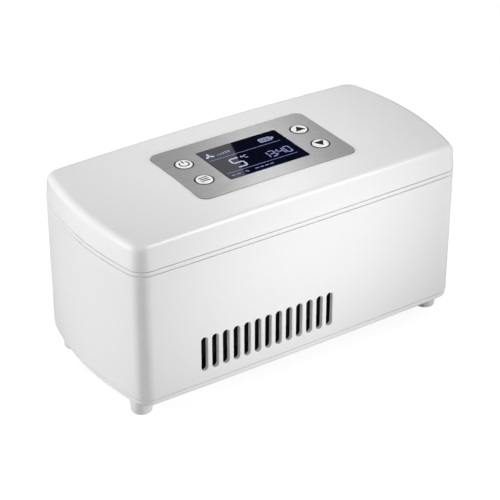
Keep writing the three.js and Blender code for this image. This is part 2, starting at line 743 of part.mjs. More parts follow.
// Power inlet: block on the board, barrel in the rear wall, round socket with its centre pin
function dcJack() {
  const half = JACK_W / 2;
  const back = jackY - JACK_L;
  const shell = block(jackX - half, jackX + half, back, jackY, zJack - half, zJack + half);
  const barrel = rodY(JACK_BARREL_R, jackY - OVER, jackEnd, jackX, zJack);
  const socket = rodY(JACK_BORE_R, back + WALL, jackEnd + OVER, jackX, zJack);
  const pin = rodY(JACK_PIN_R, back + WALL / 2, jackEnd - JACK_PIN_R, jackX, zJack, 8);
  return shell.add(barrel).subtract(socket).add(pin);
}

// Lid: crowned top over the bowed outline, with a drafted wall and a rounded edge
const crown = (x, y) => CROWN_X * (x / halfL) ** 2 + CROWN_Y * (y / halfW) ** 2;
const onCrown = (drop) => (x, y) => zTop - crown(x, y) - drop;
const panelTop = zTop - PANEL_DROP;
const zPanel = panelTop - PANEL_T;
const zRecess = zPanel - FIT;
const zPad = zRecess - PAD_T;
const zLcd = zPad - FIT - LCD_T;
const zControlTop = zLcd - FIT;
const zControl = zControlTop - CONTROL_T;
const zLiner = zLid0 + LINER_RISE;
const zLinerTop = zLiner + LINER_T;
const zPlug = zBand1 - PLUG_D;
const lidScrewX = halfL - LID_SCREW_INSET;
const lidScrewY = halfW - LID_SCREW_INSET;

// Ring of the crowned top, drawn in towards the middle by a factor
function crownRing(inset, factor, drop) {
  return ring(inset, 0).map(({ x, y }) => {
    const p = new THREE.Vector3(x * factor, y * factor, 0);
    return p.setZ(onCrown(drop)(p.x, p.y));
  });
}

function lidOuter() {
  const rings = [ring(0, zLid0), ring(LID_DRAFT, onCrown(LID_FILLET))];
  const filletSteps = 4;
  for (let i = 1; i <= filletSteps; i++) {
    const t = (Math.PI / 2) * (i / filletSteps);
    const inset = LID_DRAFT + LID_FILLET * (1 - Math.cos(t));
    rings.push(ring(inset, onCrown(LID_FILLET * (1 - Math.sin(t)))));
  }
  const edge = LID_DRAFT + LID_FILLET;
  for (const factor of [0.75, 0.45]) rings.push(crownRing(edge, factor, 0));
  return loft(rings, new THREE.Vector3(0, 0, zTop));
}

function lidCavity() {
  const inset = WALL + LID_DRAFT;
  return loft([
    ring(WALL, zLid0 - OVER),
    ring(inset, onCrown(LID_FILLET)),
    ring(inset + LID_FILLET / 2, onCrown(LID_T)),
    crownRing(inset + LID_FILLET / 2, 0.6, LID_T),
  ], new THREE.Vector3(0, 0, zTop - LID_T));
}

function lidShell() {
  const pad = slab(PANEL_L + 2 * PAD_MARGIN, PANEL_W + 2 * PAD_MARGIN, PANEL_R, zPad, zRecess + FIT);
  const standoffs = corners.map((side) => {
    const x = side.x * (CONTROL_L / 2 - STANDOFF_INSET);
    const y = side.y * (CONTROL_W / 2 - STANDOFF_INSET);
    return post(STANDOFF_R, zControlTop + FIT, zPad + PAD_T / 2, x, y);
  });
  const bosses = corners.map((side) => {
    const x = side.x * lidScrewX;
    const y = side.y * lidScrewY;
    return post(LID_BOSS_R, zLinerTop + FIT, onCrown(LID_T / 2)(x, y), x, y);
  });
  const knuckles = sides.map((side) => {
    const x0 = side.x * HINGE_X - KNUCKLE_LID / 2;
    const x1 = x0 + KNUCKLE_LID;
    const web = block(x0, x1, hingeY - HINGE_R, hingeY + HINGE_INSET / 2, hingeZ, zLid0 + OVER);
    return rodX(HINGE_R, x0, x1, hingeY, hingeZ).add(web);
  });
  const bores = sides.map((side) => {
    const reach = KNUCKLE_LID / 2 + OVER;
    return rodX(PIN_R + PIN_FIT, side.x * HINGE_X - reach, side.x * HINGE_X + reach, hingeY, hingeZ);
  });
  const recess = slab(PANEL_L + 2 * FIT, PANEL_W + 2 * FIT, PANEL_R + FIT, zRecess, zTop + OVER);
  const view = slab(LENS_L - 2 * LENS_LEDGE, LENS_W - 2 * LENS_LEDGE, LENS_R, zPad - OVER, zTop);
  const buttonHoles = corners.map((side) =>
    post(BUTTON_R + FIT, zPad - OVER, zTop, side.x * BUTTON_X, side.y * BUTTON_Y, 16));
  const screwHoles = corners.map((side) => {
    const depth = zLinerTop + LINER_SCREW.length;
    return post(LINER_SCREW.shank + FIT, zLinerTop, depth, side.x * lidScrewX, side.y * lidScrewY);
  });
  const shell = joined([lidOuter().subtract(lidCavity()), pad, ...standoffs, ...bosses, ...knuckles]);
  return cut(shell, [recess, view, ...buttonHoles, ...screwHoles, ...bores]);
}

// Liner below the lid: a flange behind the wall and a hollow plug that enters the tray
function plugSlab(inset, z0, z1) {
  return traySlab(-PLUG_GAP - inset, z0, z1);
}

const zScrewSeat = zLiner + LINER_SCREW.headH + FIT;

function lidLiner() {
  const inset = WALL + LID_DRAFT + FIT;
  const flange = loft([ring(inset, zLiner), ring(inset, zLinerTop)]);
  const plug = plugSlab(0, zPlug, zLinerTop);
  const cup = plugSlab(PLUG_T, zPlug + PLUG_T, zLinerTop + OVER);
  const seats = corners.flatMap((side) => {
    const x = side.x * lidScrewX;
    const y = side.y * lidScrewY;
    return [
      post(LINER_SCREW.head + FIT, zLiner - OVER, zScrewSeat, x, y),
      post(LINER_SCREW.shank + FIT, zLiner, zLinerTop + OVER, x, y),
    ];
  });
  const pockets = sides.map((side) =>
    post(MAGNET_R + FIT, zLiner - OVER, zLiner + MAGNET_T + FIT, side.x * CATCH_X, catchY));
  return cut(flange.add(plug), [cup, ...seats, ...pockets]);
}

function lidGasket() {
  const outer = plugSlab(-FIT - GASKET_W, zBand1 + FIT, zLiner - FIT);
  return outer.subtract(plugSlab(-FIT, zBand1, zLiner));
}

function lidInsulation() {
  return plugSlab(PLUG_T + FIT, zPlug + PLUG_T + FIT, zControl - FIT);
}

function controlPanel() {
  const plate = slab(PANEL_L, PANEL_W, PANEL_R, zPanel, panelTop);
  const view = slab(LENS_L + 2 * FIT, LENS_W + 2 * FIT, LENS_R + FIT, zPanel - OVER, panelTop + OVER);
  const holes = corners.map((side) =>
    post(BUTTON_R + FIT, zPanel - OVER, panelTop + OVER, side.x * BUTTON_X, side.y * BUTTON_Y, 16));
  return cut(plate, [view, ...holes]);
}

// Push button: round cap through the panel with a flange held below the lid
const flangeTop = zPad - BUTTON_LIFT;
const flangeBottom = flangeTop - BUTTON_FLANGE_T;
const capTop = panelTop + BUTTON_PROUD;

function pushButton() {
  const flange = BUTTON_R + BUTTON_FLANGE;
  return turned([[0, 0], [flange, 0], [flange, BUTTON_FLANGE_T], [BUTTON_R, BUTTON_FLANGE_T],
    [BUTTON_R, capTop - flangeBottom - BUTTON_EDGE], [BUTTON_R - BUTTON_EDGE, capTop - flangeBottom],
    [0, capTop - flangeBottom]]);
}

// Low switch under each button, standing on the control board
const zSwitch = zControlTop + FIT;
const zPlunger = flangeBottom - BUTTON_TRAVEL - FIT;

function tactSwitch() {
  const half = SWITCH_L / 2;
  const shell = block(-half, half, -half, half, zSwitch, zPlunger - PLUNGER_H);
  return shell.add(post(PLUNGER_R, zSwitch, zPlunger));
}

// Assembly: case, lid with its buttons, and fan rotor
const coolingCase = new THREE.Group();
const lid = new THREE.Group();
const fan = new THREE.Group();
fan.position.set(ventMid, 0, zFan);
coolingCase.add(lid, fan);

coolingCase.add(piece('body_shell', bodyShell(), finish.white));
coolingCase.add(piece('base_cover', baseCover(), finish.white));
coolingCase.add(piece('deck_frame', deckFrame(), finish.white));
coolingCase.add(piece('cold_tray', coldTray(), finish.alloy));
coolingCase.add(piece('tray_insulation', trayInsulation(), finish.foam));
coolingCase.add(piece('cold_block', coldBlock(), finish.alloy));
coolingCase.add(piece('peltier_module', peltierModule(), finish.ceramic));
coolingCase.add(piece('heat_sink', heatSink(), finish.black));
coolingCase.add(piece('air_duct', airDuct(), finish.black));
coolingCase.add(piece('battery_cradle', batteryCradle(), finish.soft));
coolingCase.add(piece('main_board', mainBoard(), finish.board));
coolingCase.add(piece('dc_jack', dcJack(), finish.black));

const sensor = slab(SENSOR_L, SENSOR_W, EDGE_R, zSensor, zSensor + SENSOR_T, sensorX, 0);
coolingCase.add(piece('temperature_sensor', sensor, finish.black));

for (let i = 0; i < cellCount; i++) {
  const cell = piece(`battery_cell_${i + 1}`, batteryCell(), finish.cell);
  cell.position.set(cellX(i), 0, zCell);
  coolingCase.add(cell);
}

for (const side of corners) {
  const rubber = piece(`foot_${side.name}`, foot(), finish.white);
  rubber.position.set(side.x * footX, side.y * footY, 0);
  const fixing = piece(`base_screw_${side.name}`, screw(BASE_SCREW), finish.steel);
  fixing.position.set(side.x * footX, side.y * footY, zBase - FIT);
  coolingCase.add(rubber, fixing);
}

for (const side of sides) {
  const clamp = piece(`clamp_screw_${side.name}`, screw(CLAMP_SCREW), finish.steel);
  clamp.position.set(ventMid + side.x * clampX, 0, zSink - FIT);
  const pinHalf = hingeHalf - FIT;
  const pin = piece(`hinge_pin_${side.name}`, rodX(PIN_R, -pinHalf, pinHalf, 0, 0), finish.steel);
  pin.position.set(side.x * HINGE_X, hingeY, hingeZ);
  const plate = piece(`catch_plate_${side.name}`, post(MAGNET_R + FIT, 0, CATCH_T), finish.steel);
  plate.position.set(side.x * CATCH_X, catchY, zBand1 - CATCH_T);
  const magnet = piece(`lid_magnet_${side.name}`, post(MAGNET_R, 0, MAGNET_T), finish.steel);
  magnet.position.set(side.x * CATCH_X, catchY, zLiner);
  coolingCase.add(clamp, pin, plate);
  lid.add(magnet);
}

fan.add(piece('fan_frame', fanFrame(), finish.black));
fan.add(piece('fan_rotor', fanRotor(), finish.black));

lid.add(piece('lid_shell', lidShell(), finish.white));
lid.add(piece('lid_liner', lidLiner(), finish.white));
lid.add(piece('lid_gasket', lidGasket(), finish.soft));
lid.add(piece('lid_insulation', lidInsulation(), finish.foam));
lid.add(piece('control_panel', controlPanel(), finish.silver));
lid.add(piece('display_lens', slab(LENS_L, LENS_W, LENS_R, zPanel, panelTop), finish.glass));

const lcdL = LENS_L + 2 * LCD_MARGIN;
const lcdW = LENS_W + 2 * LCD_MARGIN;
lid.add(piece('lcd_module', slab(lcdL, lcdW, EDGE_R, zLcd, zLcd + LCD_T), finish.glass));

const controlPlate = slab(CONTROL_L, CONTROL_W, 2 * EDGE_R, zControl, zControlTop);
lid.add(piece('control_board', controlPlate, finish.board));

const buttonNames = { front_left: 'mode', front_right: 'down', rear_left: 'power', rear_right: 'up' };
for (const side of corners) {
  const use = buttonNames[side.name];
  const button = piece(`button_${use}`, pushButton(), finish.white);
  button.position.set(side.x * BUTTON_X, side.y * BUTTON_Y, flangeBottom);
  const contact = piece(`tact_switch_${use}`, tactSwitch(), finish.black);
  contact.position.set(side.x * BUTTON_X, side.y * BUTTON_Y, 0);
  const fixing = piece(`liner_screw_${side.name}`, screw(LINER_SCREW), finish.steel);
  fixing.position.set(side.x * lidScrewX, side.y * lidScrewY, zScrewSeat - FIT);
  lid.add(button, contact, fixing);
}

export default coolingCase;
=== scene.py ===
# %% [markdown]
# # Insulin cooling case
# This lesson dresses a small medicine cooler: a bowed white housing on four rubber feet, with a hinged
# lid, a silver control panel and a cooled tray inside. Its solids are ready at their real size, with
# their joints. What is left is what the eye meets: smooth mouldings, crisp seams, print and finishes.
# All sizes are metres in the frame of the solids, with +Z up and the vented front towards -Y.

# %% Load the solids
import json
import math

import bmesh
import bpy
from mathutils import Matrix, Vector
from mathutils.geometry import intersect_sphere_sphere_2d


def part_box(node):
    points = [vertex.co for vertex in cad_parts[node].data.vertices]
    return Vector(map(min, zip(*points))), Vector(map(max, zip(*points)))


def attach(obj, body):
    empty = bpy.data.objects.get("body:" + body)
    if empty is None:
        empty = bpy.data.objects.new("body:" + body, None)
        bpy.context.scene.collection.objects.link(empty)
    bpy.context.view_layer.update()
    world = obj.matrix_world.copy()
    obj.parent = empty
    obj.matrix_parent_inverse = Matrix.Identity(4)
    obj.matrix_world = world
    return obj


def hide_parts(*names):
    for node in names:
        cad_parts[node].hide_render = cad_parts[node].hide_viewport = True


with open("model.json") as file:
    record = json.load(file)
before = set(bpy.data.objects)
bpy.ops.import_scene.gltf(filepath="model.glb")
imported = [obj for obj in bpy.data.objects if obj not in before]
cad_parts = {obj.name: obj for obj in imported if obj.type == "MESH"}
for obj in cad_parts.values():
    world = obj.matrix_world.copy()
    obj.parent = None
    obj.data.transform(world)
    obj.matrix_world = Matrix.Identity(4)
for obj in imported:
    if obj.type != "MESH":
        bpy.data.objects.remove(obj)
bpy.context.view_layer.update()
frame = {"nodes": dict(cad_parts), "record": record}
MM = 0.001
scene = bpy.context.scene

# %% [markdown]
# ## Camera
# The case is seen from the front left and from above, through a long lens that keeps its edges nearly
# parallel. A camera can be placed by hand, but an angle, a height and a distance are easier to refine:
# they turn into a place on a sphere round the middle of the case. A small lens shift frames the picture
# without tilting the camera, as it does on a view camera.

# %% Camera on a sphere round the case
AZIMUTH = math.radians(-33.54)
ELEVATION = math.radians(30.25)
DISTANCE = 926 * MM
FOCAL_PIXELS = 1767
PRINCIPAL_POINT = (2.9, -17.7)
IMAGE_PIXELS = 500
SENSOR_WIDTH = 36
AIM_HEIGHT = 56.7 * MM

aim = Vector((0, 0, AIM_HEIGHT))
flat = math.cos(ELEVATION)
towards_camera = Vector((math.sin(AZIMUTH) * flat, -math.cos(AZIMUTH) * flat, math.sin(ELEVATION)))
lens = bpy.data.cameras.new("camera")
lens.sensor_width = SENSOR_WIDTH
lens.lens = FOCAL_PIXELS / IMAGE_PIXELS * SENSOR_WIDTH
lens.shift_x = -PRINCIPAL_POINT[0] / IMAGE_PIXELS
lens.shift_y = PRINCIPAL_POINT[1] / IMAGE_PIXELS
camera = bpy.data.objects.new("camera", lens)
camera.location = aim + DISTANCE * towards_camera
camera.rotation_euler = (-towards_camera).to_track_quat("-Z", "Y").to_euler()
scene.collection.objects.link(camera)
scene.camera = camera
print(f"camera: {lens.lens:.0f} mm lens at {DISTANCE:.2f} m")

# %% [markdown]
# ## White studio
# Small appliances are often shown on plain white. The world is a soft white sky for the light, and plain
# white where the camera, a mirror or a window looks at it. The floor glows for the same three, so it reads
# as white while the shadow under the feet stays.

# %% Helpers: set up nodes, and ask who is looking
def set_inputs(node, **inputs):
    for name, value in inputs.items():
        node.inputs[name.replace("_", " ")].default_value = value


def add_node(tree, kind, **inputs):
    node = tree.nodes.new(kind)
    set_inputs(node, **inputs)
    return node


def grey(level):
    return (level, level, level, 1)


def white_where_seen(tree):
    path = add_node(tree, "ShaderNodeLightPath")
    direct = tree.nodes.new("ShaderNodeMath")
    direct.operation = "MAXIMUM"
    seen = tree.nodes.new("ShaderNodeMath")
    seen.operation = "MAXIMUM"
    tree.links.new(path.outputs["Is Camera Ray"], direct.inputs[0])
    tree.links.new(path.outputs["Is Glossy Ray"], direct.inputs[1])
    tree.links.new(direct.outputs[0], seen.inputs[0])
    tree.links.new(path.outputs["Is Transmission Ray"], seen.inputs[1])
    return seen.outputs[0]


# %% White sky
SKY_LIGHT = 0.46
scene.view_settings.view_transform = "Standard"
world = bpy.data.worlds.new("white_studio")
scene.world = world
world.use_nodes = True
sky = world.node_tree
sky.nodes.clear()
soft_light = add_node(sky, "ShaderNodeBackground", Color=grey(1), Strength=SKY_LIGHT)
plain_white = add_node(sky, "ShaderNodeBackground", Color=grey(1), Strength=1.0)
either = sky.nodes.new("ShaderNodeMixShader")
sky_out = sky.nodes.new("ShaderNodeOutputWorld")
sky.links.new(white_where_seen(sky), either.inputs["Fac"])
sky.links.new(soft_light.outputs[0], either.inputs[1])
sky.links.new(plain_white.outputs[0], either.inputs[2])
sky.links.new(either.outputs[0], sky_out.inputs["Surface"])
print("sky light:", SKY_LIGHT)

# %% White floor
FLOOR_GLOW = 0.88
FLOOR_SHADE = 0.3
FLOOR_BOUNCE = 0.55
FLOOR_SIZE = 6.0


def new_mesh(name, points, faces):
    mesh = bpy.data.meshes.new(name)
    mesh.from_pydata([tuple(p) for p in points], [], faces)
    piece = bpy.data.objects.new(name, mesh)
    scene.collection.objects.link(piece)
    return piece


half = FLOOR_SIZE / 2
floor_points = [(-half, -half, 0), (half, -half, 0), (half, half, 0), (-half, half, 0)]
floor = new_mesh("studio_floor", floor_points, [(0, 1, 2, 3)])
paper = bpy.data.materials.new("white_paper")
paper.use_nodes = True
sheet = paper.node_tree
sheet.nodes.clear()
matt = add_node(sheet, "ShaderNodeBsdfDiffuse", Color=grey(FLOOR_BOUNCE))
shaded = add_node(sheet, "ShaderNodeBsdfDiffuse", Color=grey(FLOOR_SHADE))
glow = add_node(sheet, "ShaderNodeEmission", Color=grey(1), Strength=FLOOR_GLOW)
glowing = sheet.nodes.new("ShaderNodeAddShader")
lit = sheet.nodes.new("ShaderNodeMixShader")
sheet_out = sheet.nodes.new("ShaderNodeOutputMaterial")
sheet.links.new(shaded.outputs[0], glowing.inputs[0])
sheet.links.new(glow.outputs[0], glowing.inputs[1])
sheet.links.new(white_where_seen(sheet), lit.inputs["Fac"])
sheet.links.new(matt.outputs[0], lit.inputs[1])
sheet.links.new(glowing.outputs[0], lit.inputs[2])
sheet.links.new(lit.outputs[0], sheet_out.inputs["Surface"])
floor.data.materials.append(paper)
print("floor:", FLOOR_SIZE, "m wide")

# %% [markdown]
# ## A dark sheet for the edges
# White on white loses its outline. Photographers lay something dark just outside the picture, so that the
# edges mirror it where the surface turns away. Here a dark sheet lies under the case and stands up behind
# it and at its right, and only reflections see it.

# %% Sheet that only reflections see
SHEET_LOW = (-0.21, -0.15)
SHEET_HIGH = (0.32, 0.42)
SHEET_LIFT = 0.0005
SHEET_TOP = 0.26
FELT_GREY = 0.05
flat_points = [(SHEET_LOW[0], SHEET_LOW[1], SHEET_LIFT), (SHEET_HIGH[0], SHEET_LOW[1], SHEET_LIFT),
               (SHEET_HIGH[0], SHEET_HIGH[1], SHEET_LIFT), (SHEET_LOW[0], SHEET_HIGH[1], SHEET_LIFT)]
raised_points = [(x, y, SHEET_TOP) for x, y, z in flat_points[1:]]
dark_sheet = new_mesh("dark_sheet", flat_points + raised_points, [(0, 1, 2, 3), (1, 2, 5, 4), (2, 3, 6, 5)])
felt = bpy.data.materials.new("dark_felt")
felt.use_nodes = True
set_inputs(felt.node_tree.nodes["Principled BSDF"], Base_Color=grey(FELT_GREY), Roughness=0.9)
dark_sheet.data.materials.append(felt)


def only_in_reflections(thing):
    thing.visible_camera = False
    thing.visible_diffuse = False
    thing.visible_shadow = False
    thing.visible_transmission = False


only_in_reflections(dark_sheet)
print(f"dark sheet: {SHEET_TOP} m high at the back")

# %% [markdown]
# ## Lamps
# Two spots with very soft beams stand low at the front right and the back left. The front and the left end
# then face a lamp each, and the rounded corner between them falls darker, which is what shows its curve.
# Lamps from the camera's side would flatten that corner. Each beam fades outwards, so the walls darken
# towards the floor and the far edges. A third spot, high up behind the case, brightens the rear of the lid.

# %% Three soft spots
SPOTS = {
    "front_spot": {"place": (1.30, -1.47, 0.34), "aim": (0.0, -0.05, 0.069), "beam": 7.9, "radius": 0.08,
                   "watts": 164.0},
    "left_spot": {"place": (-0.95, 0.46, 0.25), "aim": (-0.1, -0.018, 0.08), "beam": 14, "radius": 0.14,
                  "watts": 80.0},
    "lid_spot": {"place": (0.20, 0.50, 1.00), "aim": (0.045, 0.125, 0.10), "beam": 15.5, "radius": 0.14,
                 "watts": 41.0},
}


def hang(name, lamp, place, target):
    holder = bpy.data.objects.new(name, lamp)
    holder.location = place
    reach = Vector(target) - holder.location
    holder.rotation_euler = reach.to_track_quat("-Z", "Y").to_euler()
    scene.collection.objects.link(holder)
    print(f"{name}: {lamp.energy} W, {reach.length:.2f} m away")
    return holder


for name, setting in SPOTS.items():
    lamp = bpy.data.lights.new(name, "SPOT")
    lamp.energy = setting["watts"]
    lamp.spot_size = math.radians(setting["beam"])
    lamp.spot_blend = 1.0
    lamp.shadow_soft_size = setting["radius"]
    holder = hang(name, lamp, setting["place"], setting["aim"])
    holder.visible_glossy = name == "lid_spot"

# %% [markdown]
# ## Highlights along the lid's edges
# The two wall spots would draw hard streaks on the lid and glare from behind, so reflections leave them
# out. Wide dim lamps take their place there, and draw a soft bright line along each round edge. Such a
# lamp is found by mirroring: the edge's normal lies halfway between the ways to the camera and the lamp.

# %% Soft lamps that only reflections see
def mirror_lamp(name, spot, normal, away, size, watts):
    spot = Vector(spot)
    normal = Vector(normal).normalized()
    to_camera = (camera.location - spot).normalized()
    to_lamp = 2 * normal.dot(to_camera) * normal - to_camera
    lamp = bpy.data.lights.new(name, "AREA")
    lamp.shape = "SQUARE"
    lamp.size = size
    lamp.energy = watts
    holder = hang(name, lamp, spot + away * to_lamp, spot)
    holder.visible_diffuse = False


mirror_lamp("front_edge_lamp", spot=(-0.06, -0.045, 0.1), normal=(0, -1, 1.1),
            away=0.9, size=0.38, watts=4.2)
mirror_lamp("left_edge_lamp", spot=(-0.1, -0.02, 0.1), normal=(-0.9, -0.27, 0.44),
            away=0.95, size=0.3, watts=2.0)

# %% [markdown]
# ## The bowed outline
# Seen from above the case has no straight line: two wide arcs run along the sides, two tighter ones round
# the ends, and four corner arcs touch both. A bevelled cube would leave the sides flat, and a subdivided
# cage is hard to hold to size. Working the arcs out gives the same outline at any distance inwards, so
# every moulding of the case can share it.

# %% Rings of the outline
END_BOW = 6.9 * MM
SIDE_BOW = 1.1 * MM
CORNER_RADIUS = 9 * MM
END_STEPS = 8
CORNER_STEPS = 14
SIDE_STEPS = 24
half_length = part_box("body_shell")[1].x
half_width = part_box("body_shell")[1].y


def bow_radius(half_chord, bow):
    return (half_chord**2 + bow**2) / (2 * bow)


end_radius = bow_radius(half_width, END_BOW)
side_radius = bow_radius(half_length, SIDE_BOW)
end_centre = half_length - end_radius
side_centre = half_width - side_radius
meets = intersect_sphere_sphere_2d((end_centre, 0), end_radius - CORNER_RADIUS,
                                   (0, side_centre), side_radius - CORNER_RADIUS)
corner = max(meets, key=lambda p: p.x + p.y)
end_turn = math.atan2(corner.y, corner.x - end_centre)
side_turn = math.atan2(corner.y - side_centre, corner.x)


def arc(x, y, radius, start, stop, steps):
    angles = [start + (stop - start) * i / steps for i in range(steps + 1)]
    return [(x + radius * math.cos(a), y + radius * math.sin(a)) for a in angles]


def circle(radius, sides=48):
    return arc(0, 0, radius, 0, 2 * math.pi, sides)[:-1]


def bowed_outline(inset):
    quarter = arc(end_centre, 0, end_radius - inset, 0, end_turn, END_STEPS)[:-1]
    quarter += arc(corner.x, corner.y, CORNER_RADIUS - inset, end_turn, side_turn, CORNER_STEPS)[:-1]
    quarter += arc(0, side_centre, side_radius - inset, side_turn, math.pi / 2, SIDE_STEPS)[:-1]
    back = quarter + [(0, half_width - inset)] + [(-x, y) for x, y in reversed(quarter[1:])]
    return back + [(-x, -y) for x, y in back]


def bowed_ring(inset, height):
    return [Vector((x, y, height)) for x, y in bowed_outline(inset)]


print(f"end arc {end_radius / MM:.0f} mm, side arc {side_radius / MM:.0f} mm")

# %% [markdown]
# ## Skins from rings
# A moulding is a section carried round an outline. Blender can do that with a bevelled curve, but stacked
# rings joined by faces give full control of every edge. The corners of a section are softened by small
# arcs first, because a real moulding never has a knife edge and the tiny round catches the light.

# %% Helpers: soften a section, skin a stack of rings
CREASE = math.radians(38)
WELD = 0.002 * MM
LONGEST_REACH = 0.45


def softened(section, radius, closed=True, steps=4):
    radii = radius if isinstance(radius, list) else [radius] * len(section)
    points = []
    last = len(section) - 1
    for k, corner_point in enumerate(section):
        if not closed and k in (0, last):
            points.append(Vector(corner_point))
            continue
        here = Vector(corner_point)
        before = Vector(section[k - 1]) - here
        after = Vector(section[(k + 1) % len(section)]) - here
        reach = min(radii[k], LONGEST_REACH * before.length, LONGEST_REACH * after.length)
        start = here + before.normalized() * reach
        stop = here + after.normalized() * reach
        for i in range(steps + 1):
            t = i / steps
            points.append((1 - t) ** 2 * start + 2 * t * (1 - t) * here + t**2 * stop)
    return points


def skin(name, rings, loop=False):
    count = len(rings[0])
    faces = []
    for k in range(len(rings) if loop else len(rings) - 1):
        low = k * count
        high = (k + 1) % len(rings) * count
        for i in range(count):
            j = (i + 1) % count
            faces.append((low + i, low + j, high + j, high + i))
    if not loop:
        faces.append(tuple(reversed(range(count))))
        faces.append(tuple(range((len(rings) - 1) * count, len(rings) * count)))
    piece = new_mesh(name, [p for ring in rings for p in ring], faces)
    tidy_mesh(piece)
    return piece


def tidy_mesh(piece):
    build = bmesh.new()
    build.from_mesh(piece.data)
    bmesh.ops.remove_doubles(build, verts=build.verts, dist=WELD)
    bmesh.ops.recalc_face_normals(build, faces=build.faces)
    build.to_mesh(piece.data)
    build.free()


# %% [markdown]
# ## Cutting tools
# Slots and pockets are cut with Booleans. A tool whose mouth flares open leaves a rounded edge in one cut,
# so no bevel has to follow across a messy cut line. The exact solver keeps the result closed.

# %% Helper: cut or join with other meshes
def baked(piece):
    depsgraph = bpy.context.evaluated_depsgraph_get()
    return bpy.data.meshes.new_from_object(piece.evaluated_get(depsgraph))


def carve(piece, tools, operation="DIFFERENCE"):
    box = bpy.data.collections.new("tools")
    scene.collection.children.link(box)
    for tool in tools:
        scene.collection.objects.unlink(tool)
        box.objects.link(tool)
    boolean = piece.modifiers.new("carve", "BOOLEAN")
    boolean.operation = operation
    boolean.solver = "EXACT"
    boolean.operand_type = "COLLECTION"
    boolean.collection = box
    whole = baked(piece)
    piece.modifiers.clear()
    piece.data = whole
    for tool in tools:
        bpy.data.objects.remove(tool)
    bpy.data.collections.remove(box)
    tidy_mesh(piece)


# %% [markdown]
# ## Finishes
# A finish is a Principled shader with some unevenness in it. Noise in the piece's own space, stretched
# where the grain runs one way, drives colour, roughness and a fine bump. The space moves with the piece,
# so nothing slides when the lid opens.

# %% Helpers: noise into a finish
def principled(finish):
    return finish.node_tree.nodes["Principled BSDF"]


def new_finish(name, roughness=0.5, metallic=0.0):
    finish = bpy.data.materials.new(name)
    finish.use_nodes = True
    set_inputs(principled(finish), Roughness=roughness, Metallic=metallic)
    print("finish:", name)
    return finish


def grain(finish, scale, stretch, detail):
    tree = finish.node_tree
    place = tree.nodes.new("ShaderNodeTexCoord")
    mapping = add_node(tree, "ShaderNodeMapping", Scale=stretch)
    noise = add_node(tree, "ShaderNodeTexNoise", Scale=scale, Detail=detail)
    tree.links.new(place.outputs["Object"], mapping.inputs["Vector"])
    tree.links.new(mapping.outputs["Vector"], noise.inputs["Vector"])
    return noise.outputs["Fac"]


def vary_colour(finish, dark, light, scale, stretch=(1, 1, 1), detail=2.0):
    tree = finish.node_tree
    ramp = tree.nodes.new("ShaderNodeValToRGB")
    for element, position, colour in zip(ramp.color_ramp.elements, (0.3, 0.7), (dark, light)):
        element.position = position
        element.color = (*colour, 1)
    tree.links.new(grain(finish, scale, stretch, detail), ramp.inputs["Fac"])
    tree.links.new(ramp.outputs["Color"], principled(finish).inputs["Base Color"])


def vary_roughness(finish, smooth, rough, scale, stretch=(1, 1, 1), detail=2.0):
    tree = finish.node_tree
    spread = add_node(tree, "ShaderNodeMapRange", From_Min=0.25, From_Max=0.75, To_Min=smooth, To_Max=rough)
    tree.links.new(grain(finish, scale, stretch, detail), spread.inputs["Value"])
    tree.links.new(spread.outputs["Result"], principled(finish).inputs["Roughness"])


def add_bump(finish, height, scale, stretch=(1, 1, 1), detail=2.0, strength=0.3):
    tree = finish.node_tree
    bump = add_node(tree, "ShaderNodeBump", Strength=strength, Distance=height)
    tree.links.new(grain(finish, scale, stretch, detail), bump.inputs["Height"])
    tree.links.new(bump.outputs["Normal"], principled(finish).inputs["Normal"])


# %% [markdown]
# ## White housing plastic
# The housing is injection-moulded white plastic with a soft gloss. Up close such a surface has a faint
# orange peel and is polished a little more in some places than in others. Both are kept very low: at arm's
# length they only take the computer-clean look away.

# %% White plastic
white_plastic = new_finish("white_housing_plastic")
vary_colour(white_plastic, (0.845, 0.845, 0.847), (0.852, 0.852, 0.852), 14)
vary_roughness(white_plastic, 0.29, 0.33, 60)
add_bump(white_plastic, 0.006 * MM, 1400, strength=0.15)

# %% [markdown]
# ## Putting a piece in place
# A finished mesh still needs smooth shading that stops at its creases, its finish, and a body to ride on.
# All of that can be set by hand, piece by piece. One helper does it the same way every time, and hides
# the solids that the piece stands for.

# %% Helper: shade, finish and place a piece
def fit(piece, finish, body, slot, *solids):
    for face in piece.data.polygons:
        face.use_smooth = True
    piece.data.set_sharp_from_angle(angle=CREASE)
    piece.data.materials.clear()
    piece.data.materials.append(finish)
    even = piece.modifiers.new("even_shading", "WEIGHTED_NORMAL")
    even.keep_sharp = True
    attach(piece, body)
    if solids:
        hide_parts(*solids)
    print(f"{piece.name}: {len(piece.data.polygons)} faces on {body}")


# %% [markdown]
# ## Body walls
# The body is a tube of even wall that follows the outline, open at the top and the bottom. A row of
# thirteen round-ended slots lets the warm air out at the front, and a like row at the rear. The mouths of
# the slots are rounded, so each one has a bright rim. The power inlet sits in a round hole at the rear.

# %% Body tube
WALL = 2.2 * MM
MOULD_EDGE = 0.4 * MM
body_low, body_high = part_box("body_shell")
section = [(0, body_low.z), (0, body_high.z), (WALL, body_high.z), (WALL, body_low.z)]
body = skin("body_walls", [bowed_ring(inset, z) for inset, z in softened(section, MOULD_EDGE)], loop=True)
print("body tube:", len(body.data.polygons), "faces")

# %% Slot tools with a flared mouth
VENT_COUNT = 13
VENT_PITCH = 6.3 * MM
VENT_FIRST = -60.9 * MM
VENT_WIDTH = 3.7 * MM
VENT_HEIGHT = 20 * MM
VENT_MIDDLE = 29.9 * MM
MOUTH = 0.35 * MM
WIDE_MOUTH = 0.4 * MM
MOUTH_STEPS = 5
OVERSHOOT = 1 * MM


def stadium(width, height):
    radius = width / 2
    top = arc(0, height / 2 - radius, radius, 0, math.pi, 12)
    return top + [(-u, -v) for u, v in top]


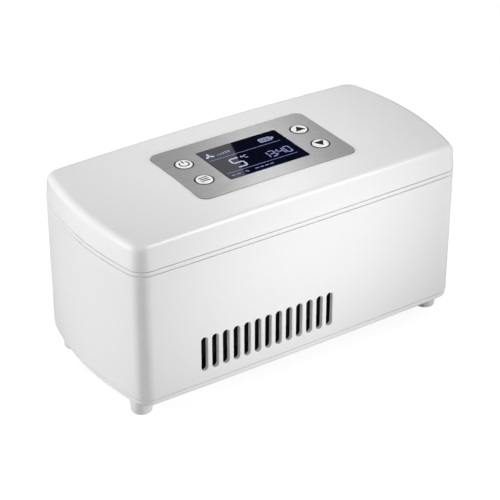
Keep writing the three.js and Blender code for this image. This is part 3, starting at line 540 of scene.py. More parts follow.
def flared_tool(name, outline_at, place, depth, mouth=MOUTH):
    profile = [(mouth, -OVERSHOOT)]
    for i in range(MOUTH_STEPS + 1):
        a = math.pi / 2 * i / MOUTH_STEPS
        profile.append((mouth * (1 - math.sin(a)), mouth * (1 - math.cos(a))))
    profile.append((0, depth + OVERSHOOT))
    return skin(name, [[place(u, v, d) for u, v in outline_at(grow)] for grow, d in profile])


def wall_face(x):
    return side_centre + math.sqrt(side_radius**2 - x**2)


slot_tools = []
for side in (-1, 1):
    for i in range(VENT_COUNT):
        x = VENT_FIRST + i * VENT_PITCH
        slot_tools.append(flared_tool(
            "slot_tool",
            lambda grow: stadium(VENT_WIDTH + 2 * grow, VENT_HEIGHT + 2 * grow),
            lambda u, v, d, x=x, side=side: Vector((x + u, side * (wall_face(x) - d), VENT_MIDDLE + v)),
            WALL,
        ))
carve(body, slot_tools)
print("slots cut:", len(slot_tools))

# %% Hole for the power inlet
INLET_RADIUS = 3.9 * MM


def middle_of(node):
    low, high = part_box(node)
    return (low + high) / 2


jack = middle_of("dc_jack")
inlet_tool = flared_tool(
    "inlet_tool",
    lambda grow: circle(INLET_RADIUS + grow),
    lambda u, v, d: Vector((jack.x + u, wall_face(jack.x) - d, jack.z + v)),
    WALL,
    WIDE_MOUTH,
)
carve(body, [inlet_tool])
fit(body, white_plastic, "case", "white_housing", "body_shell")

# %% [markdown]
# ## Base cover
# Below the lower seam runs the rim of the base cover, a tray with a rounded lower edge and a lip that
# finds its place inside the body. One section makes all of it: from the underside round the rim, over the
# lip and down to the floor, with a flat face to close each end. Intake slots under the fan let cool air in.

# %% Base cover and intake slots
RIM_INSET = 0.3 * MM
RIM_ROUND = 1.1 * MM
RIM_HEIGHT = 3 * MM
LIP_INSET = 2.5 * MM
LIP_THICK = 1.5 * MM
LIP_TOP = 16.4 * MM
LIP_ROUND = 0.3 * MM
RIM_STEPS = 6
FLOOR_INSET = 6 * MM
FAN_RIM = 1.5 * MM
INTAKE_COUNT = 7
INTAKE_WIDTH = 3.4 * MM
base_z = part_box("base_cover")[0].z
floor_z = base_z + RIM_HEIGHT
rounded_rim = [(RIM_INSET + RIM_ROUND * (1 - math.cos(a)), base_z + RIM_ROUND * (1 - math.sin(a)))
               for a in [math.pi / 2 * (1 - i / RIM_STEPS) for i in range(RIM_STEPS + 1)]]
top_side = [(RIM_INSET, floor_z), (LIP_INSET, floor_z), (LIP_INSET, LIP_TOP),
            (LIP_INSET + LIP_THICK, LIP_TOP), (LIP_INSET + LIP_THICK, floor_z), (FLOOR_INSET, floor_z)]
base_section = rounded_rim + softened([rounded_rim[-1]] + top_side, LIP_ROUND, closed=False)[1:]
base = skin("base_pan", [bowed_ring(inset, z) for inset, z in base_section])


def half_span(node):
    low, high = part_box(node)
    return (high.x - low.x) / 2


fan_x = middle_of("fan_frame").x
fan_reach = half_span("fan_frame") - FAN_RIM
intake_tools = []
for i in range(INTAKE_COUNT):
    aside = (i - (INTAKE_COUNT - 1) / 2) * 2 * fan_reach / (INTAKE_COUNT + 1)
    length = 2 * math.sqrt(fan_reach**2 - aside**2) - INTAKE_WIDTH
    intake_tools.append(flared_tool(
        "intake_tool",
        lambda grow, length=length: stadium(INTAKE_WIDTH + 2 * grow, length + 2 * grow),
        lambda u, v, d, aside=aside: Vector((fan_x + aside + u, v, base_z + d)),
        RIM_HEIGHT,
        WIDE_MOUTH,
    ))
carve(base, intake_tools)
fit(base, white_plastic, "case", "white_housing", "base_cover")

# %% [markdown]
# ## Feet
# Four soft feet lift the case so that the fan can breathe. Each is a turned shape: a slight taper, a
# rounded lower edge and a shallow hollow underneath that lets it stand on its rim. Rings of circles
# stacked by the skin helper do the turning.

# %% Rubber and turned feet
rubber = new_finish("foot_rubber")
vary_colour(rubber, (0.80, 0.80, 0.80), (0.86, 0.86, 0.86), 240)
vary_roughness(rubber, 0.48, 0.6, 500)
add_bump(rubber, 0.03 * MM, 2600)


def turned(name, profile, place):
    rings = [[Vector((place.x + u, place.y + v, z)) for u, v in circle(radius)] for radius, z in profile]
    return skin(name, rings)


AXIS = 0.2 * MM
FOOT_TAPER = 0.6 * MM
FOOT_HOLLOW = 0.5 * MM
FOOT_ROUND = 1.3 * MM
HOLLOW_SHARE = 0.55
STAND_SHARE = 0.68
for place in ("front_left", "front_right", "rear_left", "rear_right"):
    solid = "foot_" + place
    radius = half_span(solid)
    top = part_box(solid)[1].z
    corners = [(AXIS, FOOT_HOLLOW), (HOLLOW_SHARE * radius, FOOT_HOLLOW), (STAND_SHARE * radius, 0),
               (radius - FOOT_TAPER, 0), (radius, top), (AXIS, top)]
    profile = softened(corners, FOOT_ROUND, closed=False, steps=6)
    foot = turned("foot_pad_" + place, profile, middle_of(solid))
    fit(foot, rubber, "case", "white_rubber", solid)

# %% [markdown]
# ## Deck band
# Between the two seams lies the edge of the deck, the frame that closes the body and carries the tray. A
# filled 2D curve is the quickest way to a flat plate with holes and softened edges: the first outline is
# its rim, the others are holes. The rear edge has two pockets for the hinges.

# %% Helper: plate from outlines
def plate(name, outlines, low, high, edge):
    curve = bpy.data.curves.new(name, "CURVE")
    curve.dimensions = "2D"
    curve.fill_mode = "BOTH"
    curve.bevel_depth = edge
    curve.bevel_resolution = 2
    curve.offset = -edge
    curve.extrude = (high - low) / 2 - edge
    for outline in outlines:
        spline = curve.splines.new("POLY")
        spline.points.add(len(outline) - 1)
        spline.use_cyclic_u = True
        for point, (u, v) in zip(spline.points, outline):
            point.co = (u, v, 0, 1)
    drawing = bpy.data.objects.new(name + "_drawing", curve)
    scene.collection.objects.link(drawing)
    mesh = baked(drawing)
    bpy.data.objects.remove(drawing)
    mesh.transform(Matrix.Translation((0, 0, (low + high) / 2)))
    piece = bpy.data.objects.new(name, mesh)
    scene.collection.objects.link(piece)
    tidy_mesh(piece)
    return piece


def rounded_rectangle(length, width, radius, steps=8):
    x = length / 2 - radius
    y = width / 2 - radius
    points = []
    for turn, (side_x, side_y) in enumerate(((1, 1), (-1, 1), (-1, -1), (1, -1))):
        start = turn * math.pi / 2
        points += arc(side_x * x, side_y * y, radius, start, start + math.pi / 2, steps)
    return points


def block(name, low, high):
    corners = [Vector((x, y, z)) for z in (low[2], high[2])
               for x, y in ((low[0], low[1]), (high[0], low[1]), (high[0], high[1]), (low[0], high[1]))]
    return skin(name, [corners[:4], corners[4:]])


# %% Deck plate with the tray's rebate and the hinge pockets
FIT_GAP = 0.3 * MM
TRAY_WALL = 1.2 * MM
TRAY_CORNER = 8 * MM
FLANGE_WIDE = 3 * MM
FLANGE_THICK = 1 * MM
BAND_HEIGHT = 2.2 * MM
BAND_EDGE = 0.35 * MM
REBATE_EDGE = 0.01 * MM
POCKET_GAP = 0.35 * MM
HINGE_REACH = 10.65 * MM
HINGE_RADIUS = 1.4 * MM
tray_low, tray_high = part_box("cold_tray")
band_high = tray_high.z
band_low = band_high - BAND_HEIGHT
tray_length = tray_high.x - tray_low.x - 2 * (TRAY_WALL + FLANGE_WIDE)
tray_width = tray_high.y - tray_low.y - 2 * (TRAY_WALL + FLANGE_WIDE)
hinge = middle_of("hinge_pin_right")


def tray_outline(out):
    return rounded_rectangle(tray_length + 2 * out, tray_width + 2 * out, TRAY_CORNER + out)


deck = plate("deck_band", [bowed_outline(0), tray_outline(TRAY_WALL + FIT_GAP)],
             band_low, band_high, BAND_EDGE)
rebate_z = band_high - FLANGE_THICK - FIT_GAP
rebate = plate("rebate_tool", [tray_outline(TRAY_WALL + FLANGE_WIDE + FIT_GAP)],
               rebate_z, band_high + OVERSHOOT, REBATE_EDGE)
pocket_front = hinge.y - HINGE_RADIUS - POCKET_GAP
pockets = [block("pocket_tool", (side * hinge.x - HINGE_REACH, pocket_front, band_low - OVERSHOOT),
                 (side * hinge.x + HINGE_REACH, half_width + OVERSHOOT, band_high + OVERSHOOT))
           for side in (-1, 1)]
carve(deck, [rebate])
carve(deck, pockets)
print(f"deck band: {BAND_HEIGHT / MM:.1f} mm high, {len(pockets)} hinge pockets")

# %% Skirt below the deck and seats for the catch plates
SKIRT_INSET = 2.5 * MM
SKIRT_THICK = 1.6 * MM
SKIRT_ROUND = 0.3 * MM
skirt_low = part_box("deck_frame")[0].z
skirt_high = band_low + OVERSHOOT / 2
skirt_inner = SKIRT_INSET + SKIRT_THICK
skirt_section = [(SKIRT_INSET, skirt_low), (SKIRT_INSET, skirt_high),
                 (skirt_inner, skirt_high), (skirt_inner, skirt_low)]
skirt_rings = [bowed_ring(inset, z) for inset, z in softened(skirt_section, SKIRT_ROUND)]
skirt = skin("skirt", skirt_rings, loop=True)
carve(deck, [skirt], "UNION")
seats = []
for side in ("left", "right"):
    solid = "catch_plate_" + side
    radius = half_span(solid) + FIT_GAP
    seat_profile = [(radius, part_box(solid)[0].z - FIT_GAP), (radius, band_high + OVERSHOOT)]
    seats.append(turned("seat_tool", seat_profile, middle_of(solid)))
carve(deck, seats)
fit(deck, white_plastic, "case", "white_housing", "deck_frame")

# %% [markdown]
# ## Cold tray
# The pens lie in a pressed aluminium tray that hangs in the deck by its flange. Pressed metal is round at
# every bend, so its section gets a wide round at the floor and a small one at the rim. The same rounded
# outline as the deck's opening carries the section.

# %% Satin aluminium and the tray
tray_metal = new_finish("satin_aluminium", metallic=1.0)
vary_colour(tray_metal, (0.46, 0.465, 0.475), (0.55, 0.555, 0.565), 1, (40, 1800, 1800))
vary_roughness(tray_metal, 0.4, 0.54, 1, (60, 2600, 900))
add_bump(tray_metal, 0.01 * MM, 1, (50, 3000, 3000))


def tray_ring(out, height):
    return [Vector((x, y, height)) for x, y in tray_outline(out)]


TRAY_MIDDLE = -6 * MM
tray_floor = tray_low.z + TRAY_WALL
flange_low = band_high - FLANGE_THICK
flange_out = TRAY_WALL + FLANGE_WIDE
tray_section = [(TRAY_MIDDLE, tray_low.z), (TRAY_WALL, tray_low.z), (TRAY_WALL, flange_low),
                (flange_out, flange_low), (flange_out, band_high), (0, band_high),
                (0, tray_floor), (TRAY_MIDDLE, tray_floor)]
tray_rounds = [0, 4.5 * MM, 0.3 * MM, 0.3 * MM, 0.3 * MM, 0.8 * MM, 3.5 * MM, 0]
pressed = softened(tray_section, tray_rounds, closed=False, steps=6)
tray = skin("pressed_tray", [tray_ring(*at) for at in pressed])
fit(tray, tray_metal, "case", "tray_aluminium", "cold_tray")

# %% [markdown]
# ## Lid
# The lid is a shallow crowned cap: its wall leans in a little, its edge has a wide round, and its top is
# domed more across than along. Rings spread under the crown, go down the inside, turn round the rim, climb
# the outside and close in over the top, so one skin makes the whole shell. The panel's pocket and the holes
# are cut afterwards.

# %% Lid shell
SEAM = 0.4 * MM
LID_DRAFT = 0.8 * MM
LID_ROUND = 4 * MM
CROWN_LONG = 1.5 * MM
CROWN_WIDE = 1.6 * MM
RIM_CLIMB = 3 * MM
ROUND_STEPS = 12
PANEL_DROP = 0.25 * MM
panel_low, panel_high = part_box("control_panel")
lid_low = band_high + SEAM
lid_top = panel_high.z + PANEL_DROP


def crown(x, y):
    return lid_top - CROWN_LONG * (x / half_length) ** 2 - CROWN_WIDE * (y / half_width) ** 2


def crown_ring(inset, drop, shrink=1.0):
    points = [(x * shrink, y * shrink) for x, y in bowed_outline(inset)]
    return [Vector((x, y, crown(x, y) - drop)) for x, y in points]


inner_edge = WALL + LID_DRAFT + LID_ROUND / 2
lid_rings = [crown_ring(inner_edge, WALL, shrink) for shrink in (0.05, 0.4, 0.8, 1.0)]
lid_rings.append(crown_ring(WALL + LID_DRAFT, LID_ROUND))
rim = [(WALL, lid_low + RIM_CLIMB), (WALL, lid_low), (0, lid_low), (0, lid_low + RIM_CLIMB)]
lid_rings += [bowed_ring(*at) for at in softened(rim, MOULD_EDGE, closed=False)[1:-1]]
for i in range(ROUND_STEPS + 1):
    turn = math.pi / 2 * i / ROUND_STEPS
    inset = LID_DRAFT + LID_ROUND * (1 - math.cos(turn))
    lid_rings.append(crown_ring(inset, LID_ROUND * (1 - math.sin(turn))))
for shrink in (0.97, 0.92, 0.84, 0.74, 0.62, 0.48, 0.32, 0.16, 0.04):
    lid_rings.append(crown_ring(LID_DRAFT + LID_ROUND, 0, shrink))
lid = skin("lid_cover", lid_rings)
print("lid rings:", len(lid_rings))

# %% Pocket for the panel, window and button holes
LENS_LEDGE = 2 * MM
VIEW_CORNER = 1 * MM
HOLE_DEPTH = 6 * MM
BUTTON_HOLE = 4.6 * MM
PANEL_CORNER = 5 * MM
PANEL_LINE = 0.12 * MM
BUTTON_SOLIDS = {"power": "button_power", "mode": "button_mode", "up": "button_up", "down": "button_down"}
panel_length = panel_high.x - panel_low.x
panel_width = panel_high.y - panel_low.y
pocket_z = panel_low.z - FIT_GAP
lens_low, lens_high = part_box("display_lens")
lens_length = lens_high.x - lens_low.x
lens_width = lens_high.y - lens_low.y
pocket_shape = rounded_rectangle(panel_length + 2 * PANEL_LINE, panel_width + 2 * PANEL_LINE,
                                 PANEL_CORNER + PANEL_LINE)
pocket = plate("pocket_tool", [pocket_shape], pocket_z, lid_top + OVERSHOOT, 0)
carve(lid, [pocket])
hole_low = pocket_z - HOLE_DEPTH
view_shape = rounded_rectangle(lens_length - 2 * LENS_LEDGE, lens_width - 2 * LENS_LEDGE, VIEW_CORNER)
view_hole = plate("view_tool", [view_shape], hole_low, lid_top, 0)
button_places = {use: middle_of(solid) for use, solid in BUTTON_SOLIDS.items()}
hole_profile = [(BUTTON_HOLE, hole_low), (BUTTON_HOLE, lid_top)]
button_holes = [turned("hole_tool", hole_profile, place) for place in button_places.values()]
carve(lid, [view_hole, *button_holes])
fit(lid, white_plastic, "lid", "white_housing", "lid_shell")

# %% [markdown]
# ## Hinges
# Two small hinges hide in the rear edge of the deck. Each has three knuckles on one steel pin: the middle
# one belongs to the lid, the outer two to the deck. A knuckle is a round eye with a short web, so it is a
# plate with a pin hole, turned to stand across the axis.

# %% Knuckles
PIN_HOLE = 0.75 * MM
LID_KNUCKLE = 10 * MM
DECK_KNUCKLE = 5 * MM
KNUCKLE_EDGE = 0.12 * MM
EYE_GAP = 0.005 * MM
WEB_FACE = 0.2 * MM
WEB_BACK = -2.2 * MM
WEB_STEP = 0.3 * MM
WEB_SHOULDER = 1.3 * MM
WEB_ROOT = 1 * MM
eye_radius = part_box("lid_shell")[1].y - hinge.y - EYE_GAP
web_top = lid_low - hinge.z + WEB_ROOT
knuckle_pitch = LID_KNUCKLE / 2 + FIT_GAP + DECK_KNUCKLE / 2


def knuckle(name, web, middle, width):
    eye = plate(name, [web, circle(PIN_HOLE, 24)], middle - width / 2, middle + width / 2, KNUCKLE_EDGE)
    stand = Matrix(((0, 0, 1, 0), (1, 0, 0, hinge.y), (0, 1, 0, hinge.z), (0, 0, 0, 1)))
    eye.data.transform(stand)
    return eye


lid_web = arc(0, 0, eye_radius, math.pi, 2 * math.pi, 16)
lid_web += [(eye_radius, WEB_STEP), (WEB_FACE, WEB_SHOULDER), (WEB_FACE, web_top), (-eye_radius, web_top)]
deck_web = arc(0, 0, eye_radius, -5 * math.pi / 6, 5 * math.pi / 6, 24)
deck_web += [(WEB_BACK, eye_radius / 2), (WEB_BACK, -eye_radius / 2)]
for side, name in ((-1, "left"), (1, "right")):
    x = side * hinge.x
    eye = knuckle("lid_knuckle_" + name, lid_web, x, LID_KNUCKLE)
    fit(eye, white_plastic, "lid", "white_housing")
    for end, end_name in ((side, "outer"), (-side, "inner")):
        eye = knuckle(f"deck_knuckle_{name}_{end_name}", deck_web, x + end * knuckle_pitch, DECK_KNUCKLE)
        fit(eye, white_plastic, "case", "white_housing")

# %% [markdown]
# ## Control panel
# A thin silver plate lies in the lid's pocket, with a window for the display and four round holes. Its
# surface is brushed very finely along its length. Noise stretched about sixty to one gives that grain. An
# anisotropic shader stretches every highlight across the strokes, the way real brushing does. A small lamp
# that only reflections see lays such a highlight over the middle of the plate.

# %% Brushed silver panel
silver = new_finish("brushed_silver", metallic=0.9)
vary_colour(silver, (0.245, 0.245, 0.248), (0.295, 0.295, 0.298), 1, (90, 5200, 5200), 3)
vary_roughness(silver, 0.26, 0.34, 1, (120, 7000, 7000), 3)
add_bump(silver, 0.008 * MM, 1, (100, 6000, 6000), 3)
cross_grain = add_node(silver.node_tree, "ShaderNodeVectorTransform", Vector=(0, 1, 0))
cross_grain.vector_type = "VECTOR"
cross_grain.convert_from = "OBJECT"
cross_grain.convert_to = "WORLD"
silver.node_tree.links.new(cross_grain.outputs["Vector"], principled(silver).inputs["Tangent"])
set_inputs(principled(silver), Anisotropic=0.8)


def moved(outline, x, y):
    return [(x + u, y + v) for u, v in outline]


RING_INNER = 4.46 * MM
WINDOW_CORNER = 1.1 * MM
PANEL_EDGE = 0.12 * MM
window = rounded_rectangle(lens_length + 2 * FIT_GAP, lens_width + 2 * FIT_GAP, WINDOW_CORNER)
holes = [moved(circle(RING_INNER), place.x, place.y) for place in button_places.values()]
panel = plate("panel_plate", [rounded_rectangle(panel_length, panel_width, PANEL_CORNER), window, *holes],
              panel_low.z, panel_high.z, PANEL_EDGE)
fit(panel, silver, "lid", "silver_panel", "control_panel")

# %% Reflection lamp for the brushing
mirror_lamp("panel_sheen", spot=(0, 0, panel_high.z), normal=(0.006, -0.121, 1),
            away=0.55, size=0.06, watts=0.15)

# %% [markdown]
# ## Rings round the buttons
# A dark line is printed round each button hole. Ink is a film, so it is a plate a fiftieth of a millimetre
# thick on the panel's face, and all four rings are one drawing.

# %% Printed rings
INK = 0.02 * MM
RING_OUTER = 5.2 * MM
dark_ink = new_finish("dark_ink")
vary_colour(dark_ink, (0.012, 0.012, 0.013), (0.02, 0.02, 0.021), 900)
vary_roughness(dark_ink, 0.5, 0.65, 1500)
set_inputs(principled(dark_ink), Specular_IOR_Level=0.03)


def printed(name, outlines, face):
    return plate(name, outlines, face, face + INK, 0)


ring_lines = []
for place in button_places.values():
    ring_lines += [moved(circle(radius), place.x, place.y) for radius in (RING_OUTER, RING_INNER + INK)]
rings = printed("button_rings", ring_lines, panel_high.z)
fit(rings, dark_ink, "lid", "black_plastic")

# %% [markdown]
# ## Display window
# The display sits behind a dark polished window. A window that dark could be glass over a black screen;
# a glossy, nearly black plate looks the same from outside and is simpler. Faint smudges in its roughness
# keep the reflection from looking like a perfect mirror.

# %% Dark window
dark_window = new_finish("dark_window")
vary_colour(dark_window, (0.002, 0.0025, 0.01), (0.003, 0.0035, 0.015), 60)
vary_roughness(dark_window, 0.015, 0.035, 160, detail=4)
set_inputs(principled(dark_window), Specular_IOR_Level=0.33)
GLASS_CORNER = 0.8 * MM
GLASS_EDGE = 0.1 * MM
glass = plate("display_window", [rounded_rectangle(lens_length, lens_width, GLASS_CORNER)],
              lens_low.z, lens_high.z, GLASS_EDGE)
fit(glass, dark_window, "lid", "dark_lens", "display_lens")

# %% [markdown]
# ## A black card for the window
# A polished window shows whatever stands opposite, here the white studio, and would look pale. A
# photographer holds a black card where the mirrored line of sight goes. Mirroring the camera in the
# window's face tells where that is, and a card a little smaller than needed leaves a bright stripe at the
# left. Only reflections see the card.

# %% Black card in the mirrored line of sight
CARD_AWAY = 0.5
CARD_CORNERS = [(-1.8, 20), (34, 20), (34, -20), (-16.5, -20)]
mirrored = Vector((camera.location.x, camera.location.y, 2 * lens_high.z - camera.location.z))
card_points = []
for u, v in CARD_CORNERS:
    on_glass = Vector((u * MM, v * MM, lens_high.z))
    card_points.append(on_glass + (on_glass - mirrored).normalized() * CARD_AWAY)
card = new_mesh("black_card", card_points, [(0, 1, 2, 3)])
card_black = new_finish("card_black", roughness=0.9)
vary_colour(card_black, (0.01, 0.01, 0.01), (0.02, 0.02, 0.02), 300)
card.data.materials.append(card_black)
only_in_reflections(card)
print(f"card: {(card_points[1] - card_points[0]).length:.2f} m wide")

# %% [markdown]
# ## Display marks
# The display shows a temperature, a clock, a battery and a small fan, ruled into three rows. The numerals
# are built from seven bars each, as such displays do it. A small helper draws one bar with pointed ends,
# and a table of bar letters makes the numerals. Two inks are used: a bright one for the temperature and the
# signs, and a dimmer one for the clock, the battery's cells and the ruled lines.

# %% Seven-bar numerals, drawn in millimetres
BARS = {"0": "abcdef", "1": "bc", "3": "abcdg", "4": "bcfg", "5": "acdfg", "C": "adef"}
BAR_GAP = 0.15
NUMERAL_ROW = -8.1
DEGREE_SIGN = (-6.5, 0.8)
COLON_X = 11.3
CLOCK = (("1", 3.2), ("3", 7.2), ("4", 12.4), ("0", 16.6))


def bar(start, stop, width):
    start = Vector(start)
    stop = Vector(stop)
    along = (stop - start).normalized() * width / 2
    across = Vector((-along.y, along.x))
    start += along * BAR_GAP
    stop -= along * BAR_GAP
    return [start, start + along - across, stop - along - across,
            stop, stop - along + across, start + along + across]


def numeral(sign, x, y, width, height, thick):
    right = x + width
    middle = y + height / 2
    top = y + height
    ends = {
        "a": ((x, top), (right, top)), "b": ((right, middle), (right, top)),
        "c": ((right, y), (right, middle)), "d": ((x, y), (right, y)),
        "e": ((x, y), (x, middle)), "f": ((x, middle), (x, top)),
        "g": ((x, middle), (right, middle)),
    }
    return [bar(*ends[letter], thick) for letter in BARS[sign]]


def from_millimetres(outlines):
    return [[(u * MM, v * MM) for u, v in outline] for outline in outlines]


bright = numeral("5", x=-14.0, y=NUMERAL_ROW, width=5.6, height=9.3, thick=1.0)
bright += [moved(circle(radius, 20), *DEGREE_SIGN) for radius in (0.75, 0.4)]
bright += numeral("C", x=-5.1, y=-1.2, width=1.6, height=2.6, thick=0.42)
faint = [moved(rounded_rectangle(0.8, 0.8, 0.2), COLON_X, y) for y in (-6.4, -3.8)]
for sign, x in CLOCK:
    faint += numeral(sign, x, NUMERAL_ROW, width=2.9, height=6.0, thick=0.75)
print("bars and dots:", len(bright) + len(faint))

# %% Battery and fan signs, and the two ruled lines
SIGN_ROW = 9.9
LAST_ROW = -13.7
BATTERY_X = 14.0
BATTERY_CELLS = (11.9, 14.0, 16.1)
FAN_X = -20.2
BLADE_OUT = 1.5
LEVEL_COUNT = 5
LEVEL_X = -15.5
LEVEL_PITCH = 1.7
LEVEL_FOOT = 8.45
DASHES = (-20.5, -17.5, -6.5, -3.5, -0.5, 2.5)
for length, width, radius in ((7.4, 4.0, 1.0), (6.5, 3.1, 0.6)):
    bright += [moved(rounded_rectangle(length, width, radius), BATTERY_X, SIGN_ROW)]
bright += [moved(rounded_rectangle(0.9, 1.8, 0.3), BATTERY_X + 4.5, SIGN_ROW)]
faint += [moved(rounded_rectangle(1.5, 2.3, 0.2), x, SIGN_ROW) for x in BATTERY_CELLS]
blade = [Vector((1.55 * u + BLADE_OUT, 0.8 * v, 0)) for u, v in circle(0.85, 24)]
for turn in (90, 210, 330):
    spin = Matrix.Rotation(math.radians(turn), 3, "Z")
    bright += [moved([(spin @ point).xy for point in blade], FAN_X, SIGN_ROW)]
faint += [moved(rounded_rectangle(43.2, 0.32, 0.1), -1.2, y) for y in (5.15, -10.75)]
for i in range(LEVEL_COUNT):
    height = 0.9 + 0.35 * i
    level = rounded_rectangle(1.0, height, 0.15)
    faint += [moved(level, LEVEL_X + LEVEL_PITCH * i, LEVEL_FOOT + height / 2)]
faint += [moved(rounded_rectangle(2.2, 0.7, 0.2), x, LAST_ROW) for x in DASHES]
faint += [moved(circle(radius, 24), -12.3, LAST_ROW) for radius in (0.9, 0.5)]
print("outlines on the display:", len(bright) + len(faint))

# %% Pale blue light of the marks
def lit_ink(name, colour, strength):
    finish = new_finish(name, roughness=0.12)
    dim = tuple(0.8 * level for level in colour)
    vary_colour(finish, dim, colour, 700)
    set_inputs(principled(finish), Emission_Color=(*colour, 1), Emission_Strength=strength)
    return finish


marks = printed("display_marks", from_millimetres(bright), lens_high.z)
fit(marks, lit_ink("bright_mark", (0.36, 0.39, 0.53), 0.58), "lid", "dark_lens")
small_marks = printed("display_lines", from_millimetres(faint), lens_high.z)
fit(small_marks, lit_ink("faint_mark", (0.17, 0.195, 0.38), 0.6), "lid", "dark_lens")

# %% [markdown]
# ## Buttons
# Four white caps stand a little proud of the panel: power and mode on the left, up and down on the right.
# Each cap is turned, with a flange below the lid that keeps it in, and rides on its own body so that it
# can be pressed. The signs are ink on the caps: a broken ring with a bar, three short lines, two triangles.

# %% Signs, drawn in millimetres
def stroke(points, width):
    left = []
    right = []
    for k, point in enumerate(points):
        ahead = Vector(points[min(k + 1, len(points) - 1)])
        along = (ahead - Vector(points[max(k - 1, 0)])).normalized()
        across = Vector((-along.y, along.x)) * width / 2
        left.append(Vector(point) + across)
        right.append(Vector(point) - across)
    return right + left[::-1]


SIGNS = {
    "power": [stroke(arc(0, -0.25, 2.5, math.radians(130), math.radians(410), 40), 0.75),
              stroke([(0, 0.35), (0, 3.1)], 0.75)],
    "mode": [moved(rounded_rectangle(5.0, 0.75, 0.3), 0, y) for y in (-1.7, 0, 1.7)],
    "up": [[(-3.0, -2.0), (3.0, -2.0), (0, 2.9)]],
    "down": [[(3.0, 2.0), (-3.0, 2.0), (0, -2.9)]],
}
print("signs:", ", ".join(SIGNS))

# %% Turned caps with their signs
cap_white = new_finish("button_white")
vary_colour(cap_white, (0.92, 0.92, 0.92), (0.95, 0.95, 0.95), 300)
vary_roughness(cap_white, 0.34, 0.42, 900)
BUTTON_RADIUS = 4.3 * MM
BUTTON_FLANGE = 5.4 * MM
FLANGE_HEIGHT = 0.8 * MM
CAP_EDGE = 0.45 * MM
CAP_AXIS = 0.3 * MM
PRINT_ROOM = 0.05 * MM
for use, solid in BUTTON_SOLIDS.items():
    low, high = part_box(solid)
    place = button_places[use]
    top = high.z - PRINT_ROOM
    outline = [(CAP_AXIS, low.z), (BUTTON_FLANGE, low.z), (BUTTON_FLANGE, low.z + FLANGE_HEIGHT),
               (BUTTON_RADIUS, low.z + FLANGE_HEIGHT), (BUTTON_RADIUS, top), (CAP_AXIS, top)]
    cap = turned("cap_" + use, softened(outline, CAP_EDGE, closed=False, steps=6), place)
    fit(cap, cap_white, use + "_button", "button_white", solid)
    lines = [moved(line, place.x, place.y) for line in from_millimetres(SIGNS[use])]
    sign = printed("sign_" + use, lines, top)
    fit(sign, dark_ink, use + "_button", "black_plastic")

# %% [markdown]
# ## Lid liner and gasket
# Under the lid a satin white liner closes the shell. Its plug dips into the tray and a soft grey gasket
# lies round the plug, so the cold stays in. Liner flange and plug are joined into one mesh, then the screw
# wells and the magnet pockets are cut.

# %% Liner
liner_white = new_finish("liner_white")
vary_colour(liner_white, (0.79, 0.79, 0.785), (0.82, 0.82, 0.815), 40)
vary_roughness(liner_white, 0.42, 0.55, 400)
add_bump(liner_white, 0.02 * MM, 3000)
LINER_INSET = 3.3 * MM
LINER_RISE = 1.4 * MM
LINER_EDGE = 0.3 * MM
PLUG_ROUND = 1.6 * MM
SCREW_WELL = 1.6 * MM
PLUG_OUT = -1 * MM
PLUG_ROOT = 1 * MM
liner_low, liner_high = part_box("lid_liner")
flange_z = lid_low + LINER_RISE
liner = plate("inner_liner", [bowed_outline(LINER_INSET)], flange_z, liner_high.z, LINER_EDGE)
plug_section = [(PLUG_OUT, flange_z + PLUG_ROOT), (PLUG_OUT, liner_low.z), (TRAY_MIDDLE, liner_low.z)]
plug = skin("plug", [tray_ring(*at) for at in softened(plug_section, PLUG_ROUND, closed=False, steps=8)])
carve(liner, [plug], "UNION")
wells = []
WELL_NODES = ("liner_screw_front_left", "liner_screw_front_right", "liner_screw_rear_left",
              "liner_screw_rear_right", "lid_magnet_left", "lid_magnet_right")
for node in WELL_NODES:
    low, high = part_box(node)
    radius = half_span(node) + FIT_GAP
    depth = SCREW_WELL if "screw" in node else high.z - low.z + FIT_GAP
    well_profile = [(radius, flange_z - OVERSHOOT), (radius, flange_z + depth)]
    wells.append(turned("well_tool", well_profile, middle_of(node)))
carve(liner, wells)
fit(liner, liner_white, "lid", "white_liner", "lid_liner")

# %% Gasket
seal_rubber = new_finish("seal_rubber")
vary_colour(seal_rubber, (0.25, 0.255, 0.26), (0.3, 0.305, 0.31), 260)
vary_roughness(seal_rubber, 0.55, 0.7, 700)
add_bump(seal_rubber, 0.03 * MM, 2200)
GASKET_WIDE = 5 * MM
GASKET_ROUND = 0.5 * MM
gasket_low, gasket_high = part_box("lid_gasket")
gasket_out = (gasket_high.x - gasket_low.x - tray_length) / 2
gasket_in = gasket_out - GASKET_WIDE
seal = [(gasket_out, gasket_low.z), (gasket_out, gasket_high.z),
        (gasket_in, gasket_high.z), (gasket_in, gasket_low.z)]
gasket = skin("seal_ring", [tray_ring(*at) for at in softened(seal, GASKET_ROUND)], loop=True)
fit(gasket, seal_rubber, "lid", "grey_rubber", "lid_gasket")

# %% [markdown]
# ## Power inlet
# A small round inlet sits in the rear wall: a black sleeve with a bore, and a bright pin in its middle.
# Both are turned about an axis that points backwards.

# %% Matte black plastic, plated steel and the inlet
black_plastic = new_finish("black_plastic")
vary_colour(black_plastic, (0.012, 0.012, 0.012), (0.02, 0.02, 0.02), 200)
vary_roughness(black_plastic, 0.45, 0.6, 500)
add_bump(black_plastic, 0.02 * MM, 2400)
steel = new_finish("plated_steel", metallic=1.0)
vary_colour(steel, (0.52, 0.52, 0.53), (0.58, 0.58, 0.59), 500)
vary_roughness(steel, 0.22, 0.36, 900)
SLEEVE_RADIUS = 3.6 * MM
BORE_RADIUS = 2.8 * MM
PIN_RADIUS = 1.05 * MM
PIN_SHORT = 1 * MM
PIN_ROOT = 0.5 * MM
SLEEVE_FLOOR = 1 * MM
PIN_ROUND = 0.4 * MM
SLEEVE_EDGE = 0.25 * MM


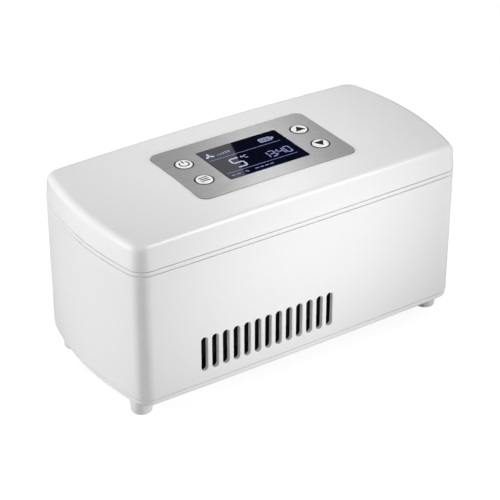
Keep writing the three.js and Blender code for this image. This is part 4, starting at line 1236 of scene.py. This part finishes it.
def turned_backwards(name, profile, loop):
    rings = [[Vector((jack.x + u, y, jack.z + v)) for u, v in circle(radius)] for radius, y in profile]
    return skin(name, rings, loop)


jack_low, jack_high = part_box("dc_jack")
inlet_back = jack_high.y
inlet_front = jack_low.y + WALL
bore_end = inlet_front + SLEEVE_FLOOR
pin_start = inlet_front + PIN_ROOT
pin_end = inlet_back - PIN_SHORT
sleeve_section = [(SLEEVE_RADIUS, inlet_front), (SLEEVE_RADIUS, inlet_back), (BORE_RADIUS, inlet_back),
                  (BORE_RADIUS, bore_end), (AXIS, bore_end), (AXIS, inlet_front)]
sleeve = turned_backwards("power_inlet", softened(sleeve_section, SLEEVE_EDGE), True)
fit(sleeve, black_plastic, "case", "black_plastic", "dc_jack")
pin_section = [(AXIS, pin_start), (PIN_RADIUS, pin_start), (PIN_RADIUS, pin_end), (AXIS, pin_end)]
pin = turned_backwards("inlet_pin", softened(pin_section, PIN_ROUND, closed=False), False)
fit(pin, steel, "case", "steel")

# %% [markdown]
# ## Inner pieces
# Fan, heat sink, cells and boards keep their solids, since they show little or not at all. They still get
# finishes of their own: a viewer who opens the model finds anodised metal, foam and solder mask inside.

# %% Finishes of the inner pieces
anodised = new_finish("black_anodised")
vary_colour(anodised, (0.006, 0.006, 0.007), (0.012, 0.012, 0.013), 1, (300, 40, 2000))
vary_roughness(anodised, 0.5, 0.65, 700)
set_inputs(principled(anodised), Specular_IOR_Level=0.15)
grey_plastic = new_finish("grey_plastic")
vary_colour(grey_plastic, (0.36, 0.36, 0.36), (0.42, 0.42, 0.42), 120)
vary_roughness(grey_plastic, 0.45, 0.6, 600)
board = new_finish("solder_mask")
vary_colour(board, (0.01, 0.09, 0.04), (0.02, 0.16, 0.07), 450, detail=0)
vary_roughness(board, 0.3, 0.5, 900)
wrap = new_finish("cell_wrap")
vary_colour(wrap, (0.03, 0.16, 0.36), (0.04, 0.2, 0.42), 90)
vary_roughness(wrap, 0.25, 0.4, 300)
ceramic = new_finish("bare_ceramic")
vary_colour(ceramic, (0.72, 0.72, 0.68), (0.8, 0.8, 0.76), 500)
vary_roughness(ceramic, 0.55, 0.7, 1200)
foam = new_finish("insulating_foam")
vary_colour(foam, (0.6, 0.57, 0.5), (0.74, 0.71, 0.64), 900, detail=4)
vary_roughness(foam, 0.85, 0.98, 1500)
add_bump(foam, 0.2 * MM, 1200, detail=4)

# %% Finish each solid by its slot
SLOT_FINISH = {
    "white_housing": white_plastic, "white_liner": liner_white, "button_white": cap_white,
    "white_rubber": rubber, "grey_rubber": seal_rubber, "silver_panel": silver, "dark_lens": dark_window,
    "tray_aluminium": tray_metal, "black_aluminium": anodised, "black_plastic": black_plastic,
    "grey_plastic": grey_plastic, "circuit_board": board, "cell_wrap": wrap, "ceramic": ceramic,
    "foam": foam, "steel": steel,
}
for part in frame["record"]["subparts"]:
    node = frame["nodes"][part["node"]]
    for slot in node.material_slots:
        slot.material = SLOT_FINISH[part["material_slot"]]

# %% [markdown]
# Every piece now has its shape and its finish. The dressed case has to stay inside the box of its solids.

# %% End
print("scene dressed")
